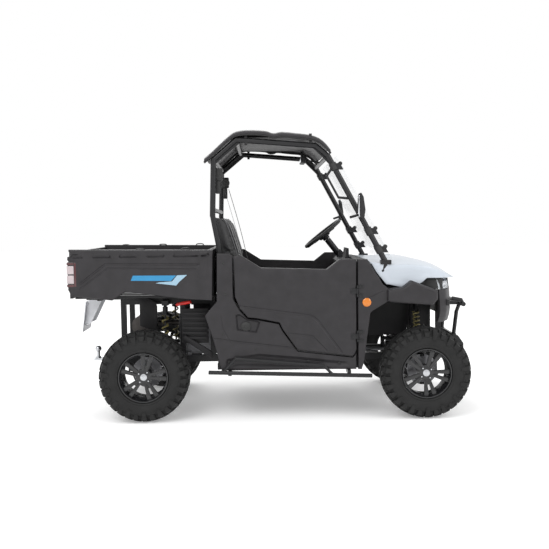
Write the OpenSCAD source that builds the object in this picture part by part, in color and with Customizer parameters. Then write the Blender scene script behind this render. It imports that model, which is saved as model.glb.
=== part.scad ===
/* [Overall] */
// Distance between the front and rear axles
wheelbase = 2000; // [1900:10:2400]
// From the rear axle back to the rearmost point
rear_overhang = 548.5; // [540:0.5:620]
// From the front axle forward to the bumper face
front_overhang = 378.5; // [370:0.5:440]
// Half the width over the doors
door_half_w = 720; // [700:1:760]
// Height of the top of the roof
roof_top_z = 2068; // [1980:1:2300]

/* [Wheels] */
// Outer radius of all four tyres
tyre_r = 322; // [300:1:330]
// Width of a front tyre
front_tyre_w = 230; // [200:1:250]
// Width of a rear tyre
rear_tyre_w = 280; // [240:1:300]
// From the centre line to the middle of a front tyre
front_track_y = 655; // [640:1:700]
// From the centre line to the middle of a rear tyre
rear_track_y = 630; // [615:1:690]
// Radius of the rim where the tyre sits
rim_r = 176; // [165:1:185]
// Number of spokes on a rim
spoke_count = 5; // [4:1:8]

/* [Cargo bed] */
// Length of the cargo bed
bed_l = 1022; // [900:1:1100]
// Half the width over the cargo bed
bed_half_w = 700; // [640:1:720]
// Height of the top of the bed side
bed_top_z = 1216; // [1160:1:1300]
// Height of the load floor
bed_floor_z = 900; // [895:1:940]
// Thickness of a bed side
bed_side_t = 60; // [30:1:80]
// Thickness of the tailgate
tailgate_t = 30; // [20:1:40]

/* [Cab] */
// Thickness of a door
door_t = 62; // [40:1:70]
// Gap between a door and the panels round it
door_gap = 10; // [9:0.5:14]
// Height of the cab floor plate
floor_z = 395; // [395:1:410]
// Width of the bench seat
seat_w = 1180; // [1000:10:1220]
// Half the width over the roof
roof_half_w = 665; // [640:1:700]
// Radius of the roll cage tube
cage_r = 20; // [16:0.5:24]

/* [Steering] */
// Outer diameter of the steering wheel
steering_wheel_d = 372; // [340:1:400]
// From the centre line to the steering wheel
driver_y = 330; // [300:1:350]
// Length of a steering arm, from the kingpin back to the tie rod
steering_arm_l = 90; // [80:1:100]

/* [Hitch] */
// Diameter of the tow ball
tow_ball_d = 50; // [45:0.5:60]
// Width of the square hole of the hitch receiver
receiver_hole = 51; // [45:0.5:60]

/* [Hidden] */
$fn = 32;

// Running clearances
pin_gap = 0.4;
seat_gap = 0.3;

// Stations along the vehicle
overall_l = rear_overhang + wheelbase + front_overhang;
rear_axle_x = rear_overhang - overall_l / 2;
front_axle_x = rear_axle_x + wheelbase;
hub_z = tyre_r;

// Frame rails
rail_in_y = 180;
rail_out_y = 230;
rail_bot_z = 345;
rail_top_z = 395;
cross_top_z = 365;
frame_rear_x = rear_axle_x - 275;
frame_front_x = front_axle_x + 215;
cage_post_y = 617;

// Suspension
subframe_y = 130;
subframe_half_l = 200;
subframe_upright_dx = 186;
subframe_tube_r = 15;
arm_pivot_dx = 150;
lower_pivot_z = hub_z - 45;
upper_pivot_z = hub_z + 133;
arm_tube_r = 12;
ball_dz = 90;
kingpin_y = front_track_y - 95;
knuckle_half_h = ball_dz - 5;
stud_r = 8;
spindle_r = 17;
knuckle_hub_end = 38;
rear_knuckle_y = rear_track_y - 110;
rear_hub_end = 31;
rear_axle_r = 14;

// Bed
bed_rear_x = rear_axle_x - 522;
bed_front_x = bed_rear_x + bed_l;
bed_hinge_x = rear_axle_x - 205;
bed_hinge_z = 850;
bed_hinge_r = 12;
bed_rail_in_y = 240;
bed_rail_out_y = 280;
bed_rail_bot_z = 835;
bed_rail_top_z = bed_floor_z - 25;
support_rail_bot_z = 790;
support_rail_top_z = 830;
support_rail_y = 205;
tailgate_hinge_x = bed_rear_x + 12;
tailgate_hinge_z = bed_floor_z - 10;
tail_light_in_y = bed_half_w - bed_side_t + 14;
tail_light_bot_z = 960;
tail_light_top_z = 1142;

// Cab
cab_rear_x = bed_front_x + 24;
side_panel_out_y = door_half_w - 10;
side_panel_in_y = door_half_w - 75;
door_rear_x = cab_rear_x + 123;
door_front_x = front_axle_x - 489;
door_in_y = door_half_w - door_t;
hinge_x = door_front_x + 4;
hinge_y = door_half_w + 2;
hinge_zs = [590, 910];
hinge_r = 7;
hinge_half_h = 20;
hinge_pin_r = 3.6;
fender_rear_x = door_front_x + 8;
floor_t = 12;
firewall_x = front_axle_x - 462;
seat_front_x = cab_rear_x + 560;
seat_box_top_z = 720;

// Feet of the cage and heads of the shocks
cage_foot_z = 1150;
a_foot = [front_axle_x - 274, 645, 1106];
foot_half_l = 38;
foot_half_w = 24;
shock_top_y = 300;
shock_beam_z = 790;
rear_shock_dx = 118;
front_seat_z = upper_pivot_z - 2;
rear_seat_z = lower_pivot_z - 8;

// Nose
headlight_bot_z = 902;
headlight_top_z = 988;
headlight_in_y = 385;
fascia_bot_z = 662;

// Engine
engine_rear_x = rear_axle_x + 205;
engine_front_x = engine_rear_x + 300;

// Hitch
hitch_tail_x = rear_axle_x - tyre_r - 58;
hitch_pin_r = 8;
tow_ball_z = 424;

// Windshield in front of its pillars, and the clamps that hold it
glass_dx = 62;
glass_t = 6;
clamp_reach = glass_dx - glass_t - 0.5;
clamp_zs = [1200, 1330, 1790];

// Half of the cage: foot, rear post, top corners, roof rail, and pillar down to the hood
cage_y = 645;
cage_top_y = cage_y - 20;
cage_foot_x = cab_rear_x + 16;
cage_side = [
    [cage_foot_x, cage_post_y, cage_foot_z + 2], [cage_foot_x, cage_post_y, 1235],
    [cab_rear_x - 24, cage_post_y + 8, 1455], [cab_rear_x - 11, cage_y - 15, roof_top_z - 220],
    [cab_rear_x + 150, cage_top_y, roof_top_z - 82], [front_axle_x - 765, cage_top_y, roof_top_z - 130],
    [front_axle_x - 678, cage_y - 10, roof_top_z - 203], [a_foot[0] - 5, cage_y, a_foot[2] + 12]
];
rear_post_mid = cage_side[2];
rear_post_top = cage_side[3];
rail_rear = cage_side[4];
rail_front = cage_side[5];
pillar_top = cage_side[6];
pillar_foot = cage_side[7];

// Place of the windshield pillar at one height, and of the roof rail at one station
function between(low, high, share) = low + (high - low) * share;
function pillar_share(z) = (z - pillar_foot[2]) / (pillar_top[2] - pillar_foot[2]);
function pillar_x(z) = between(pillar_foot[0], pillar_top[0], pillar_share(z));
function pillar_y(z) = between(pillar_foot[1], pillar_top[1], pillar_share(z));
function on_pillar(z, dx) = [pillar_x(z) + dx, pillar_y(z), z];
function rail_share(x) = (x - rail_rear[0]) / (rail_front[0] - rail_rear[0]);
function rail_z(x) = between(rail_rear[2], rail_front[2], rail_share(x));

// Steering
steering_x = front_axle_x - 648;
steering_z = 1305;
steering_tilt = 37.8;
tie_rod_x = front_axle_x - steering_arm_l;
tie_rod_z = hub_z - 7;
tie_rod_r = 9;
rim_tube_r = 15;
column_shaft_r = 11;

// Copy to both sides of the vehicle
module both_sides() {
    children();
    mirror([0, 1, 0]) children();
}

// Outline in X and Z, extruded from one Y to another
module side_slab(outline, y_from, y_to) {
    translate([0, y_to, 0])
        rotate([90, 0, 0])
            linear_extrude(y_to - y_from)
                polygon(outline);
}

// Box between two corners
module block(low, high) {
    translate(low) cube(high - low);
}

// Round bar between two points
module rod(from, to, radius) {
    run = to - from;
    length = norm(run);
    translate(from)
        rotate([0, acos(run[2] / length), atan2(run[1], run[0])])
            cylinder(h = length, r = radius);
}

// Tube through a list of points; at each elbow two lengths run a little past each other
module bent_tube(points, radius) {
    last = len(points) - 2;
    for (i = [0 : last]) {
        dir = (points[i + 1] - points[i]) / norm(points[i + 1] - points[i]);
        lead = i > 0 ? radius * 0.35 : 0;
        tail = i < last ? radius * 0.35 : 0;
        rod(points[i] - dir * lead, points[i + 1] + dir * tail, radius - ((last - i) % 2));
    }
}

// Disc or bar along Y, centred on a point
module cross_bar(centre, radius, half_l) {
    translate(centre) rotate([90, 0, 0]) cylinder(h = 2 * half_l, r = radius, center = true);
}

// Lower and upper tubes that carry the arms at one axle, and their uprights
module axle_subframe(axle_x) {
    both_sides() {
        for (z = [lower_pivot_z, upper_pivot_z])
            rod([axle_x - subframe_half_l, subframe_y, z],
                [axle_x + subframe_half_l, subframe_y, z], subframe_tube_r);
        for (dx = [-subframe_upright_dx, subframe_upright_dx]) {
            rod([axle_x + dx, subframe_y, lower_pivot_z - 5],
                [axle_x + dx, subframe_y, upper_pivot_z + 5], subframe_tube_r + 2);
            block([axle_x + dx - 14, subframe_y, rail_bot_z + 8],
                  [axle_x + dx + 14, rail_in_y + 10, rail_top_z - 8]);
        }
    }
    for (dx = [-subframe_upright_dx, subframe_upright_dx])
        block([axle_x + dx - 12, -subframe_y, lower_pivot_z - 12],
              [axle_x + dx + 12, subframe_y, lower_pivot_z + 12]);
}

module chassis_frame() color([0.09, 0.09, 0.1]) {
    sill_in_y = 598;
    sill_out_y = 636;
    post_r = 19;
    b_post_x = cage_foot_x;
    a_post_x = front_axle_x - 480;
    both_sides() {
        // Main rail, sill rail and their outriggers
        block([frame_rear_x, rail_in_y, rail_bot_z], [frame_front_x, rail_out_y, rail_top_z]);
        block([b_post_x - 22, sill_in_y, rail_bot_z + 8], [a_post_x + 12, sill_out_y, rail_top_z]);
        for (x = [b_post_x, (b_post_x + a_post_x) / 2, a_post_x])
            block([x - 20, rail_out_y - 5, rail_bot_z + 8], [x + 20, sill_in_y + 5, rail_top_z - 4]);
        // Post up to the rear hoop of the cage
        translate([b_post_x, cage_post_y, rail_top_z - 5])
            cylinder(h = cage_foot_z - rail_top_z + 5, r = post_r);
        // Post up to the windshield pillar, behind the wheel arch
        bent_tube([[a_post_x, cage_post_y - 2, rail_top_z - 10], [a_post_x + 48, cage_post_y - 2, 780],
                   [a_foot[0], a_foot[1], a_foot[2] - 8]], post_r);
        block(a_foot - [foot_half_l, foot_half_w, 12], a_foot + [foot_half_l, foot_half_w, 0]);
        // Uprights and rail that carry the cargo bed
        for (x = [bed_hinge_x - 30, rear_axle_x + 215, bed_front_x - 55])
            block([x, support_rail_y - 20, rail_top_z - 5],
                  [x + 40, support_rail_y + 20, support_rail_top_z - 5]);
        block([bed_hinge_x - 30, support_rail_y - 20, support_rail_bot_z],
              [bed_front_x - 15, support_rail_y + 20, support_rail_top_z]);
        // Hinge lug and pin of the bed
        cross_bar([bed_hinge_x, support_rail_y, bed_hinge_z], bed_hinge_r + 7, 12);
        block([bed_hinge_x - 16, support_rail_y - 11, support_rail_top_z - 5],
              [bed_hinge_x + 16, support_rail_y + 11, bed_hinge_z]);
        cross_bar([bed_hinge_x, support_rail_y + 37, bed_hinge_z], bed_hinge_r, 40);
        // Front shock tower
        block([front_axle_x - 20, rail_in_y + 5, rail_top_z - 5],
              [front_axle_x + 20, rail_out_y - 8, shock_beam_z + 20]);
        block([front_axle_x - 22, rail_in_y + 5, shock_beam_z],
              [front_axle_x + 22, shock_top_y + 28, shock_beam_z + 22]);
        // Radiator and bumper uprights at the nose
        block([frame_front_x - 40, rail_in_y + 5, rail_top_z - 5], [frame_front_x, rail_out_y - 5, 830]);
    }
    for (x = [frame_rear_x, rear_axle_x + 215, cab_rear_x - 5, front_axle_x - 330, frame_front_x - 40])
        block([x, -rail_in_y - 5, rail_bot_z + 2], [x + 40, rail_in_y + 5, cross_top_z]);
    // Cross members under the bed, the middle one over the rear shocks
    for (x = [bed_hinge_x - 30, bed_front_x - 55])
        block([x, -support_rail_y, support_rail_bot_z + 3],
              [x + 40, support_rail_y, support_rail_top_z - 3]);
    block([rear_axle_x + rear_shock_dx - 24, -370, support_rail_bot_z + 3],
          [rear_axle_x + rear_shock_dx + 24, 370, support_rail_top_z - 1]);
    // Rest pads of the bed rails
    for (y = [-bed_rail_in_y - 32, bed_rail_in_y + 8])
        block([rear_axle_x + rear_shock_dx - 15, y, support_rail_top_z - 2],
              [rear_axle_x + rear_shock_dx + 15, y + 24, bed_rail_bot_z - seat_gap]);
    block([front_axle_x - 20, -rail_in_y - 10, shock_beam_z + 2],
          [front_axle_x + 20, rail_in_y + 10, shock_beam_z + 20]);
    block([frame_front_x - 38, -rail_in_y - 10, 800], [frame_front_x - 2, rail_in_y + 10, 828]);
    axle_subframe(front_axle_x);
    axle_subframe(rear_axle_x);
}

module front_bumper() color([0.1, 0.1, 0.11]) {
    nose_x = front_axle_x + front_overhang;
    tube_r = 17;
    half_w = 330;
    bar_z = 768;
    post_y = (rail_in_y + rail_out_y) / 2;
    skid_top_z = 535;
    // Upper loop, with short arms back to the frame
    rod([nose_x - tube_r, -half_w, bar_z], [nose_x - tube_r, half_w, bar_z], tube_r);
    both_sides() {
        bent_tube([[nose_x - tube_r, half_w - 14, bar_z], [nose_x - 34, half_w - 8, bar_z + 32],
                   [nose_x - 104, half_w - 8, bar_z + 46]], tube_r - 3);
        // Arm through the lower grille opening to the frame upright
        rod([frame_front_x, post_y, bar_z], [nose_x - tube_r, post_y, bar_z], tube_r - 3);
        // Posts down to the skid block
        bent_tube([[nose_x - tube_r, post_y, bar_z], [nose_x - 42, post_y, 700],
                   [nose_x - 64, post_y, skid_top_z - 15]], 15);
        block([frame_front_x, rail_in_y + 8, rail_bot_z + 8], [nose_x - 40, rail_out_y - 8, rail_top_z - 8]);
        block([nose_x - 84, rail_in_y + 8, rail_bot_z + 8], [nose_x - 46, rail_out_y - 8, skid_top_z - 5]);
    }
    // Lower skid block
    side_slab([[nose_x - 84, skid_top_z], [nose_x - 40, skid_top_z - 15], [nose_x, 462], [nose_x, 410],
               [nose_x - 40, 385], [nose_x - 84, 390]], -260, 260);
}

// Bent wall that follows the rounded nose in plan, shrunk by inset
function nose_side(inset) = [
    [front_axle_x + 276 - inset, 220], [front_axle_x + 236 - inset, 420 - inset],
    [front_axle_x + 180 - inset, 570 - inset], [front_axle_x + 125, 590 - inset]
];
function nose_plan(inset) = concat(
    [for (i = [3 : -1 : 0]) [nose_side(inset)[i][0], -nose_side(inset)[i][1]]],
    [[front_axle_x + 284 - inset, 0]], nose_side(inset)
);

module front_fascia() color([0.2, 0.2, 0.21]) {
    difference() {
        translate([0, 0, fascia_bot_z]) linear_extrude(headlight_bot_z - fascia_bot_z) polygon(nose_plan(0));
        translate([0, 0, fascia_bot_z - 1]) linear_extrude(300) polygon(nose_plan(34));
        block([front_axle_x, -700, fascia_bot_z - 1], [front_axle_x + 126, 700, 1000]);
        // Grille opening
        block([front_axle_x + 150, -250, 742], [front_axle_x + 400, 250, 790]);
        block([front_axle_x + 150, -300, 835], [front_axle_x + 400, 300, 872]);
    }
    // Cheek that ties the fascia to the frame upright
    both_sides()
        block([frame_front_x - 34, rail_out_y - 5 + seat_gap, 780], [frame_front_x - 10, 560, 826]);
}

module headlights() color([0.9, 0.92, 0.95]) {
    both_sides()
        difference() {
            translate([0, 0, headlight_bot_z + seat_gap])
                linear_extrude(headlight_top_z - headlight_bot_z - 2 * seat_gap)
                    polygon(nose_plan(3));
            block([front_axle_x - 10, -700, 800], [front_axle_x + 500, headlight_in_y + 1, 1100]);
            block([front_axle_x - 10, -700, 800], [front_axle_x + 150, 700, 1100]);
        }
}

// Outer form of the hood, shrunk by inset
module hood_form(inset) {
    intersection() {
        side_slab([[fender_rear_x + 99, 1124 - inset], [front_axle_x - 227, 1113 - inset],
                   [front_axle_x - 149, 1136 - inset], [front_axle_x, 1123 - inset],
                   [front_axle_x + 120, 1086 - inset], [front_axle_x + 215, 1036 - inset],
                   [front_axle_x + 279 - inset, 975 - inset], [front_axle_x + 284 - inset, 903],
                   [front_axle_x + 130, 903], [front_axle_x + 95, headlight_top_z],
                   [front_axle_x + 29, 986], [front_axle_x - 98, 984],
                   [front_axle_x - 162, 948], [fender_rear_x + 184, 966]], -690, 690);
        translate([0, 0, 850])
            linear_extrude(400)
                polygon(concat(
                    [[fender_rear_x + 96, 690 - inset], [fender_rear_x + 96, -690 + inset],
                     [front_axle_x - 190, -690 + inset], [front_axle_x - 90, -640 + inset]],
                    nose_plan(inset),
                    [[front_axle_x - 90, 640 - inset], [front_axle_x - 190, 690 - inset]]));
    }
}

module hood() color([0.87, 0.89, 0.92]) {
    skin_t = 24;
    difference() {
        hood_form(0);
        difference() {
            hood_form(skin_t);
            // Stiffening rib across the hood
            block([front_axle_x - 60, -700, 1080], [front_axle_x - 30, 700, 1200]);
        }
        block([fender_rear_x + 140, -660, 800], [front_axle_x + 130, 660, 1060]);
        both_sides() {
            // Pockets for the headlight and for the foot of the windshield pillar
            block([front_axle_x + 100, headlight_in_y, 850], [front_axle_x + 500, 700, headlight_top_z]);
            block([a_foot[0] - 50, a_foot[1] - 34, 1040], [a_foot[0] + 50, 700, 1300]);
            block([front_axle_x - 230, 560, 900], [front_axle_x + 500, 800, 989]);
        }
    }
}

module front_fenders() color([0.2, 0.2, 0.21]) {
    top = [[fender_rear_x, 1135], [fender_rear_x + 68, 1134], [fender_rear_x + 94, 1100],
           [front_axle_x - 304, 956], [front_axle_x - 258, 925]];
    arch = [[front_axle_x - 258, 834], [front_axle_x - 379, 765], [front_axle_x - 394, 751],
            [front_axle_x - 423, 537], [front_axle_x - 431, 466], [front_axle_x - 446, 387],
            [front_axle_x - 458, 352]];
    flare_top = [[front_axle_x - 258, 925], [front_axle_x - 162, 931], [front_axle_x - 98, 978],
                 [front_axle_x + 83, 908]];
    flare_low = [[front_axle_x + 83, 844], [front_axle_x + 47, 802], [front_axle_x - 244, 827],
                 [front_axle_x - 258, 834]];
    both_sides() {
        side_slab(concat(top, arch, [[fender_rear_x, 352]]), 662, side_panel_out_y);
        side_slab(concat(flare_top, flare_low), side_panel_out_y - 20, 745);
        // Top of the flare, in to the hood
        side_slab(concat(flare_top, [for (i = [3 : -1 : 0]) flare_top[i] - [0, 29]]),
                  610, side_panel_out_y - 15);
        // Inner liner behind and over the tyre
        side_slab(concat([[front_axle_x + 60, 838]], [for (i = [0 : 5]) arch[i]],
                         [for (i = [5 : -1 : 0]) arch[i] + [-7, 7]],
                         [[front_axle_x + 60, 846]]), 400, 663);
        // Hinge leaves, knuckles and pins of the door
        for (z = hinge_zs) {
            for (side = [-1, 1])
                translate([hinge_x, hinge_y, z + side * (hinge_half_h + 11) - 10]) {
                    cylinder(h = 20, r = hinge_r);
                    translate([0, side_panel_out_y - hinge_y, 0]) cube([42, 12, 20]);
                }
            translate([hinge_x, hinge_y, z - hinge_half_h - 15])
                cylinder(h = 2 * hinge_half_h + 30, r = hinge_pin_r);
        }
    }
}

module dashboard() color([0.16, 0.16, 0.17]) {
    dash_rear_x = fender_rear_x - 40;
    difference() {
        union() {
            side_slab([[dash_rear_x - 22, 1085], [dash_rear_x + 4, 1112], [fender_rear_x + 88, 1118],
                       [fender_rear_x + 88, 820], [firewall_x - 20, 820], [dash_rear_x - 4, 930]], -590, 590);
            // Instrument pod in front of the driver, and centre screen
            side_slab([[dash_rear_x + 2, 1100], [dash_rear_x - 10, 1165], [dash_rear_x + 12, 1176],
                       [dash_rear_x + 84, 1100]], driver_y - 85, driver_y + 85);
            side_slab([[dash_rear_x + 10, 1100], [dash_rear_x + 26, 1196], [dash_rear_x + 42, 1194],
                       [dash_rear_x + 44, 1100]], -110, 110);
        }
        // Glove boxes
        for (y = [-480, 40])
            block([dash_rear_x - 40, y, 945], [dash_rear_x + 60, y + 150, 1050]);
        // Steering column passes through
        column_line(26 + seat_gap, 0, 420);
    }
}

module cab_floor() color([0.17, 0.17, 0.18]) {
    half_w = 590;
    block([cab_rear_x + 40, -half_w, floor_z], [firewall_x, half_w, floor_z + floor_t]);
    // Firewall up to the dashboard
    block([firewall_x - 20, -half_w, floor_z + floor_t], [firewall_x, half_w, 820 - seat_gap]);
    // Seat box, open inside
    difference() {
        block([door_rear_x - 60, -half_w, floor_z + floor_t], [seat_front_x - 30, half_w, seat_box_top_z]);
        block([door_rear_x - 48, -half_w + 12, floor_z + floor_t + 12],
              [seat_front_x - 42, half_w - 12, seat_box_top_z - 12]);
    }
}

// Lower edge of the door opening, from the front back to the top, raised by gap
function door_sill_line(gap) = [
    [gap > 0 ? door_front_x : fender_rear_x - seat_gap, 484 + gap],
    [door_front_x - 15, 452 + gap], [door_front_x - 31, 438 + gap],
    [door_rear_x + 443 + gap * 0.4, 487 + gap], [door_rear_x + 340 + gap, 634 + gap * 0.6],
    [door_rear_x + 320 + gap * 0.5, 684 + gap], [door_rear_x + 165, 715 + gap],
    [door_rear_x + 93, 723 + gap], [door_rear_x + 34 + gap * 0.5, 787 + gap * 0.8],
    [door_rear_x + gap - 9, 870]
];

module side_panels() color([0.2, 0.2, 0.21]) {
    both_sides() {
        side_slab(concat(
            [[cab_rear_x + 6, 1188], [cab_rear_x, 847], [cab_rear_x - 35, 810], [cab_rear_x - 85, 749],
             [cab_rear_x - 31, 585], [cab_rear_x + 28, 356], [fender_rear_x - seat_gap, 354]],
            door_sill_line(0),
            [[door_rear_x - 8, 1182], [door_rear_x - 26, 1188]]),
            side_panel_in_y, side_panel_out_y);
        // Foot of the panel, in to the sill rail
        block([cab_rear_x + 60, 636 + seat_gap, 356], [fender_rear_x - 40, side_panel_in_y + 1, 390]);
    }
}

module step_bars() color([0.08, 0.08, 0.09]) {
    bar_r = 14;
    bar_y = 735;
    rear_x = cab_rear_x - 65;
    front_x = front_axle_x - 387;
    both_sides() {
        rod([rear_x, bar_y, 351], [front_x, bar_y, 311], bar_r);
        // Raised bar on two legs
        rod([rear_x + 100, bar_y, 348], [rear_x + 194, bar_y, 446], bar_r - 4);
        rod([door_front_x - 240, bar_y, 388], [door_front_x - 174, bar_y, 321], bar_r - 4);
        rod([rear_x + 186, bar_y, 447], [door_front_x - 232, bar_y, 387], bar_r - 2);
        // Arms in to the sill rail of the frame
        for (x = [rear_x + 150, front_x - 160])
            block([x - 12, 602, 324], [x + 12, bar_y, rail_bot_z + 8 - seat_gap]);
    }
}

module seat_cushion() color([0.12, 0.12, 0.13]) {
    side_slab([[door_rear_x + 20, seat_box_top_z + seat_gap], [seat_front_x - 30, seat_box_top_z + seat_gap],
               [seat_front_x, 745], [seat_front_x - 4, 850], [seat_front_x - 40, 868],
               [door_rear_x + 60, 850], [door_rear_x + 20, 845]], -seat_w / 2, seat_w / 2);
}

module seat_backs() color([0.12, 0.12, 0.13]) {
    place_dy = seat_w / 3;
    back_half_w = place_dy / 2 - 16;
    for (y = [-place_dy, 0, place_dy]) {
        side_slab([[cab_rear_x + 46, seat_box_top_z + 150], [cab_rear_x + 150, seat_box_top_z + 160],
                   [cab_rear_x + 158, 1160], [cab_rear_x + 122, 1280], [cab_rear_x + 76, 1416],
                   [cab_rear_x + 20, 1452], [cab_rear_x - 30, 1452], [cab_rear_x - 34, 1420],
                   [cab_rear_x + 20, 1190]], y - back_half_w, y + back_half_w);
        // Steel frame behind the back, down to the seat box
        block([cab_rear_x + 66, y - 60, seat_box_top_z + seat_gap],
              [cab_rear_x + 82, y + 60, seat_box_top_z + 151]);
    }
}

module rear_bulkhead() color([0.13, 0.13, 0.14])
    block([cab_rear_x - 1, -590, rail_top_z + seat_gap], [cab_rear_x + 11, 590, 1100]);

module roll_cage() color([0.12, 0.12, 0.13]) {
    both_sides() {
        bent_tube(cage_side, cage_r);
        translate([cage_foot_x, cage_post_y, cage_foot_z + seat_gap]) cylinder(h = 14, r = cage_r + 6);
        block(a_foot + [-foot_half_l, -foot_half_w, seat_gap], a_foot + [foot_half_l, foot_half_w, 18]);
        // Gusset plates at the two upper corners
        side_slab([[cab_rear_x - 8, roof_top_z - 260], [cab_rear_x + 190, roof_top_z - 95],
                   [cab_rear_x + 160, roof_top_z - 72], [cab_rear_x - 16, roof_top_z - 215]],
                  cage_y - 24, cage_y - 16);
        side_slab([[front_axle_x - 790, roof_top_z - 140], [front_axle_x - 640, roof_top_z - 290],
                   [front_axle_x - 670, roof_top_z - 190], [front_axle_x - 760, roof_top_z - 118]],
                  cage_y - 24, cage_y - 16);
        // Windshield clamps on the pillar
        for (z = clamp_zs)
            side_slab([[pillar_x(z - 22) - 24, z - 22], [pillar_x(z - 22) + clamp_reach, z - 22],
                       [pillar_x(z + 22) + clamp_reach, z + 22], [pillar_x(z + 22) - 24, z + 22]],
                      cage_y - 30, cage_y + 14);
    }
    // Grab handle of the passenger, behind the right pillar
    mirror([0, 1, 0])
        bent_tube([on_pillar(1794, 0), on_pillar(1724, -85), on_pillar(1571, -85), on_pillar(1562, 0)], 9);
    // Cross tubes
    for (end = [rear_post_mid + [0, 0, 40], rear_post_top, rail_rear, pillar_top])
        rod([end[0], -end[1], end[2]], end, cage_r - 3);
}

module roof() color([0.2, 0.2, 0.21]) {
    t = roof_top_z;
    side_slab([[cab_rear_x - 75, t - 196], [cab_rear_x - 32, t - 161], [cab_rear_x + 110, t - 31],
               [cab_rear_x + 146, t - 7], [cab_rear_x + 216, t], [cab_rear_x + 363, t - 5],
               [front_axle_x - 1030, t - 12], [front_axle_x - 804, t - 34], [front_axle_x - 734, t - 60],
               [front_axle_x - 658, t - 143], [front_axle_x - 700, t - 157], [front_axle_x - 763, t - 94],
               [cab_rear_x + 178, t - 46], [cab_rear_x + 108, t - 78], [cab_rear_x - 26, t - 196]],
              -roof_half_w, roof_half_w);
    // Brackets down to the cage rails
    for (x = [cab_rear_x + 220, front_axle_x - 800])
        both_sides()
            block([x - 10, cage_y - 34, rail_z(x) + cage_r + 1], [x + 10, cage_y - 6, t - 40]);
}
module windshield() color([0.85, 0.9, 0.93]) {
    front = [for (z = [1126, 1390, 1580, roof_top_z - 205]) [pillar_x(z) + glass_dx, z]];
    back = [for (z = [roof_top_z - 205, 1580, 1390, 1126]) [pillar_x(z) + glass_dx - glass_t, z]];
    side_slab(concat(front, back), -cage_y, cage_y);
}

module mirrors() color([0.15, 0.15, 0.16]) {
    mirror_x = front_axle_x - 460;
    mirror_in_y = cage_y + 50;
    clamp_z = 1430;
    clamp_low_z = clamp_z - 22;
    clamp_y = pillar_y(clamp_low_z) + cage_r + seat_gap;
    both_sides() {
        // Housing, stalk and clamp on the pillar
        side_slab([[mirror_x - 20, clamp_z - 10], [mirror_x + 16, clamp_z - 21],
                   [mirror_x + 26, clamp_z + 50], [mirror_x + 14, clamp_z + 140],
                   [mirror_x - 6, clamp_z + 173], [mirror_x - 20, clamp_z + 160]],
                  mirror_in_y, mirror_in_y + 125);
        rod([pillar_x(clamp_z), clamp_y + 12, clamp_z], [mirror_x, mirror_in_y + 8, clamp_z + 20], 9);
        block([pillar_x(clamp_z) - 24, clamp_y, clamp_low_z],
              [pillar_x(clamp_z) + 24, clamp_y + 15, clamp_z + 22]);
    }
    // Mirror in the middle, hung from the front cross tube
    block([pillar_top[0] - 170, -120, pillar_top[2] - 9], [pillar_top[0] - 120, 120, pillar_top[2] + 46]);
    block([pillar_top[0] - 121, -15, pillar_top[2] - 8],
          [pillar_top[0] - cage_r + 3 - seat_gap, 15, pillar_top[2] + 8]);
}

// Cylinder along the steering column, from one distance to another below the wheel
module column_line(radius, from, to) {
    translate([steering_x, driver_y, steering_z])
        rotate([0, 180 - steering_tilt, 0])
            translate([0, 0, from]) cylinder(h = to - from, r = radius);
}

module steering_column() color([0.1, 0.1, 0.1]) {
    difference() {
        column_line(26, 62, 330);
        column_line(column_shaft_r + pin_gap, 50, 120);
    }
    // Rack housing and its feet on the frame
    difference() {
        union() {
            cross_bar([tie_rod_x, 0, tie_rod_z], 22, 150);
            for (y = [-subframe_y - 8, subframe_y - 8])
                block([tie_rod_x - 18, y, lower_pivot_z + subframe_tube_r + seat_gap],
                      [tie_rod_x + 18, y + 16, tie_rod_z]);
        }
        cross_bar([tie_rod_x, 0, tie_rod_z], tie_rod_r + pin_gap, 160);
    }
}

// Two legs from the frame pivots to the wheel end, at one height
module a_arm(axle_x, pivot_z, end_y, end_z, end_half) {
    pivot_y = subframe_y + subframe_tube_r + arm_tube_r + 1;
    for (side = [-1, 1]) {
        rod([axle_x + side * arm_pivot_dx, pivot_y, pivot_z],
            [axle_x + side * end_half, end_y, end_z], arm_tube_r);
        rod([axle_x + side * arm_pivot_dx - 25, pivot_y, pivot_z],
            [axle_x + side * arm_pivot_dx + 25, pivot_y, pivot_z], arm_tube_r + 0.5);
    }
}

module front_a_arms() color([0.12, 0.12, 0.13]) {
    both_sides() {
        for (side = [-1, 1]) {
            pivot_z = side < 0 ? lower_pivot_z : upper_pivot_z;
            ball_z = hub_z + side * ball_dz;
            a_arm(front_axle_x, pivot_z, kingpin_y - 16, ball_z + side * 14, 8);
            // Boss and stud of the ball joint
            translate([front_axle_x, kingpin_y, ball_z + side * 12]) cylinder(h = 15, r = 19, center = true);
            translate([front_axle_x, kingpin_y, ball_z - side * 6])
                cylinder(h = 40, r = stud_r, center = true);
        }
        // Seat of the shock on the upper arm
        block([front_axle_x - 62, 395, upper_pivot_z - 24], [front_axle_x + 62, 425, front_seat_z]);
    }
}

module rear_a_arms() color([0.12, 0.12, 0.13]) {
    end_y = rear_knuckle_y - 15 - seat_gap;
    both_sides() {
        for (arm = [[lower_pivot_z, -ball_dz + 14, 60], [upper_pivot_z, ball_dz - 14, 12]]) {
            a_arm(rear_axle_x, arm[0], end_y - 10, hub_z + arm[1], arm[2]);
            block([rear_axle_x - arm[2] - 12, end_y - 20, hub_z + arm[1] - 12],
                  [rear_axle_x + arm[2] + 12, end_y, hub_z + arm[1] + 12]);
        }
        // Seat of the shock
        block([rear_axle_x + 84, 385, lower_pivot_z - 26],
              [rear_axle_x + rear_shock_dx + 24, 415, rear_seat_z]);
    }
}
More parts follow.
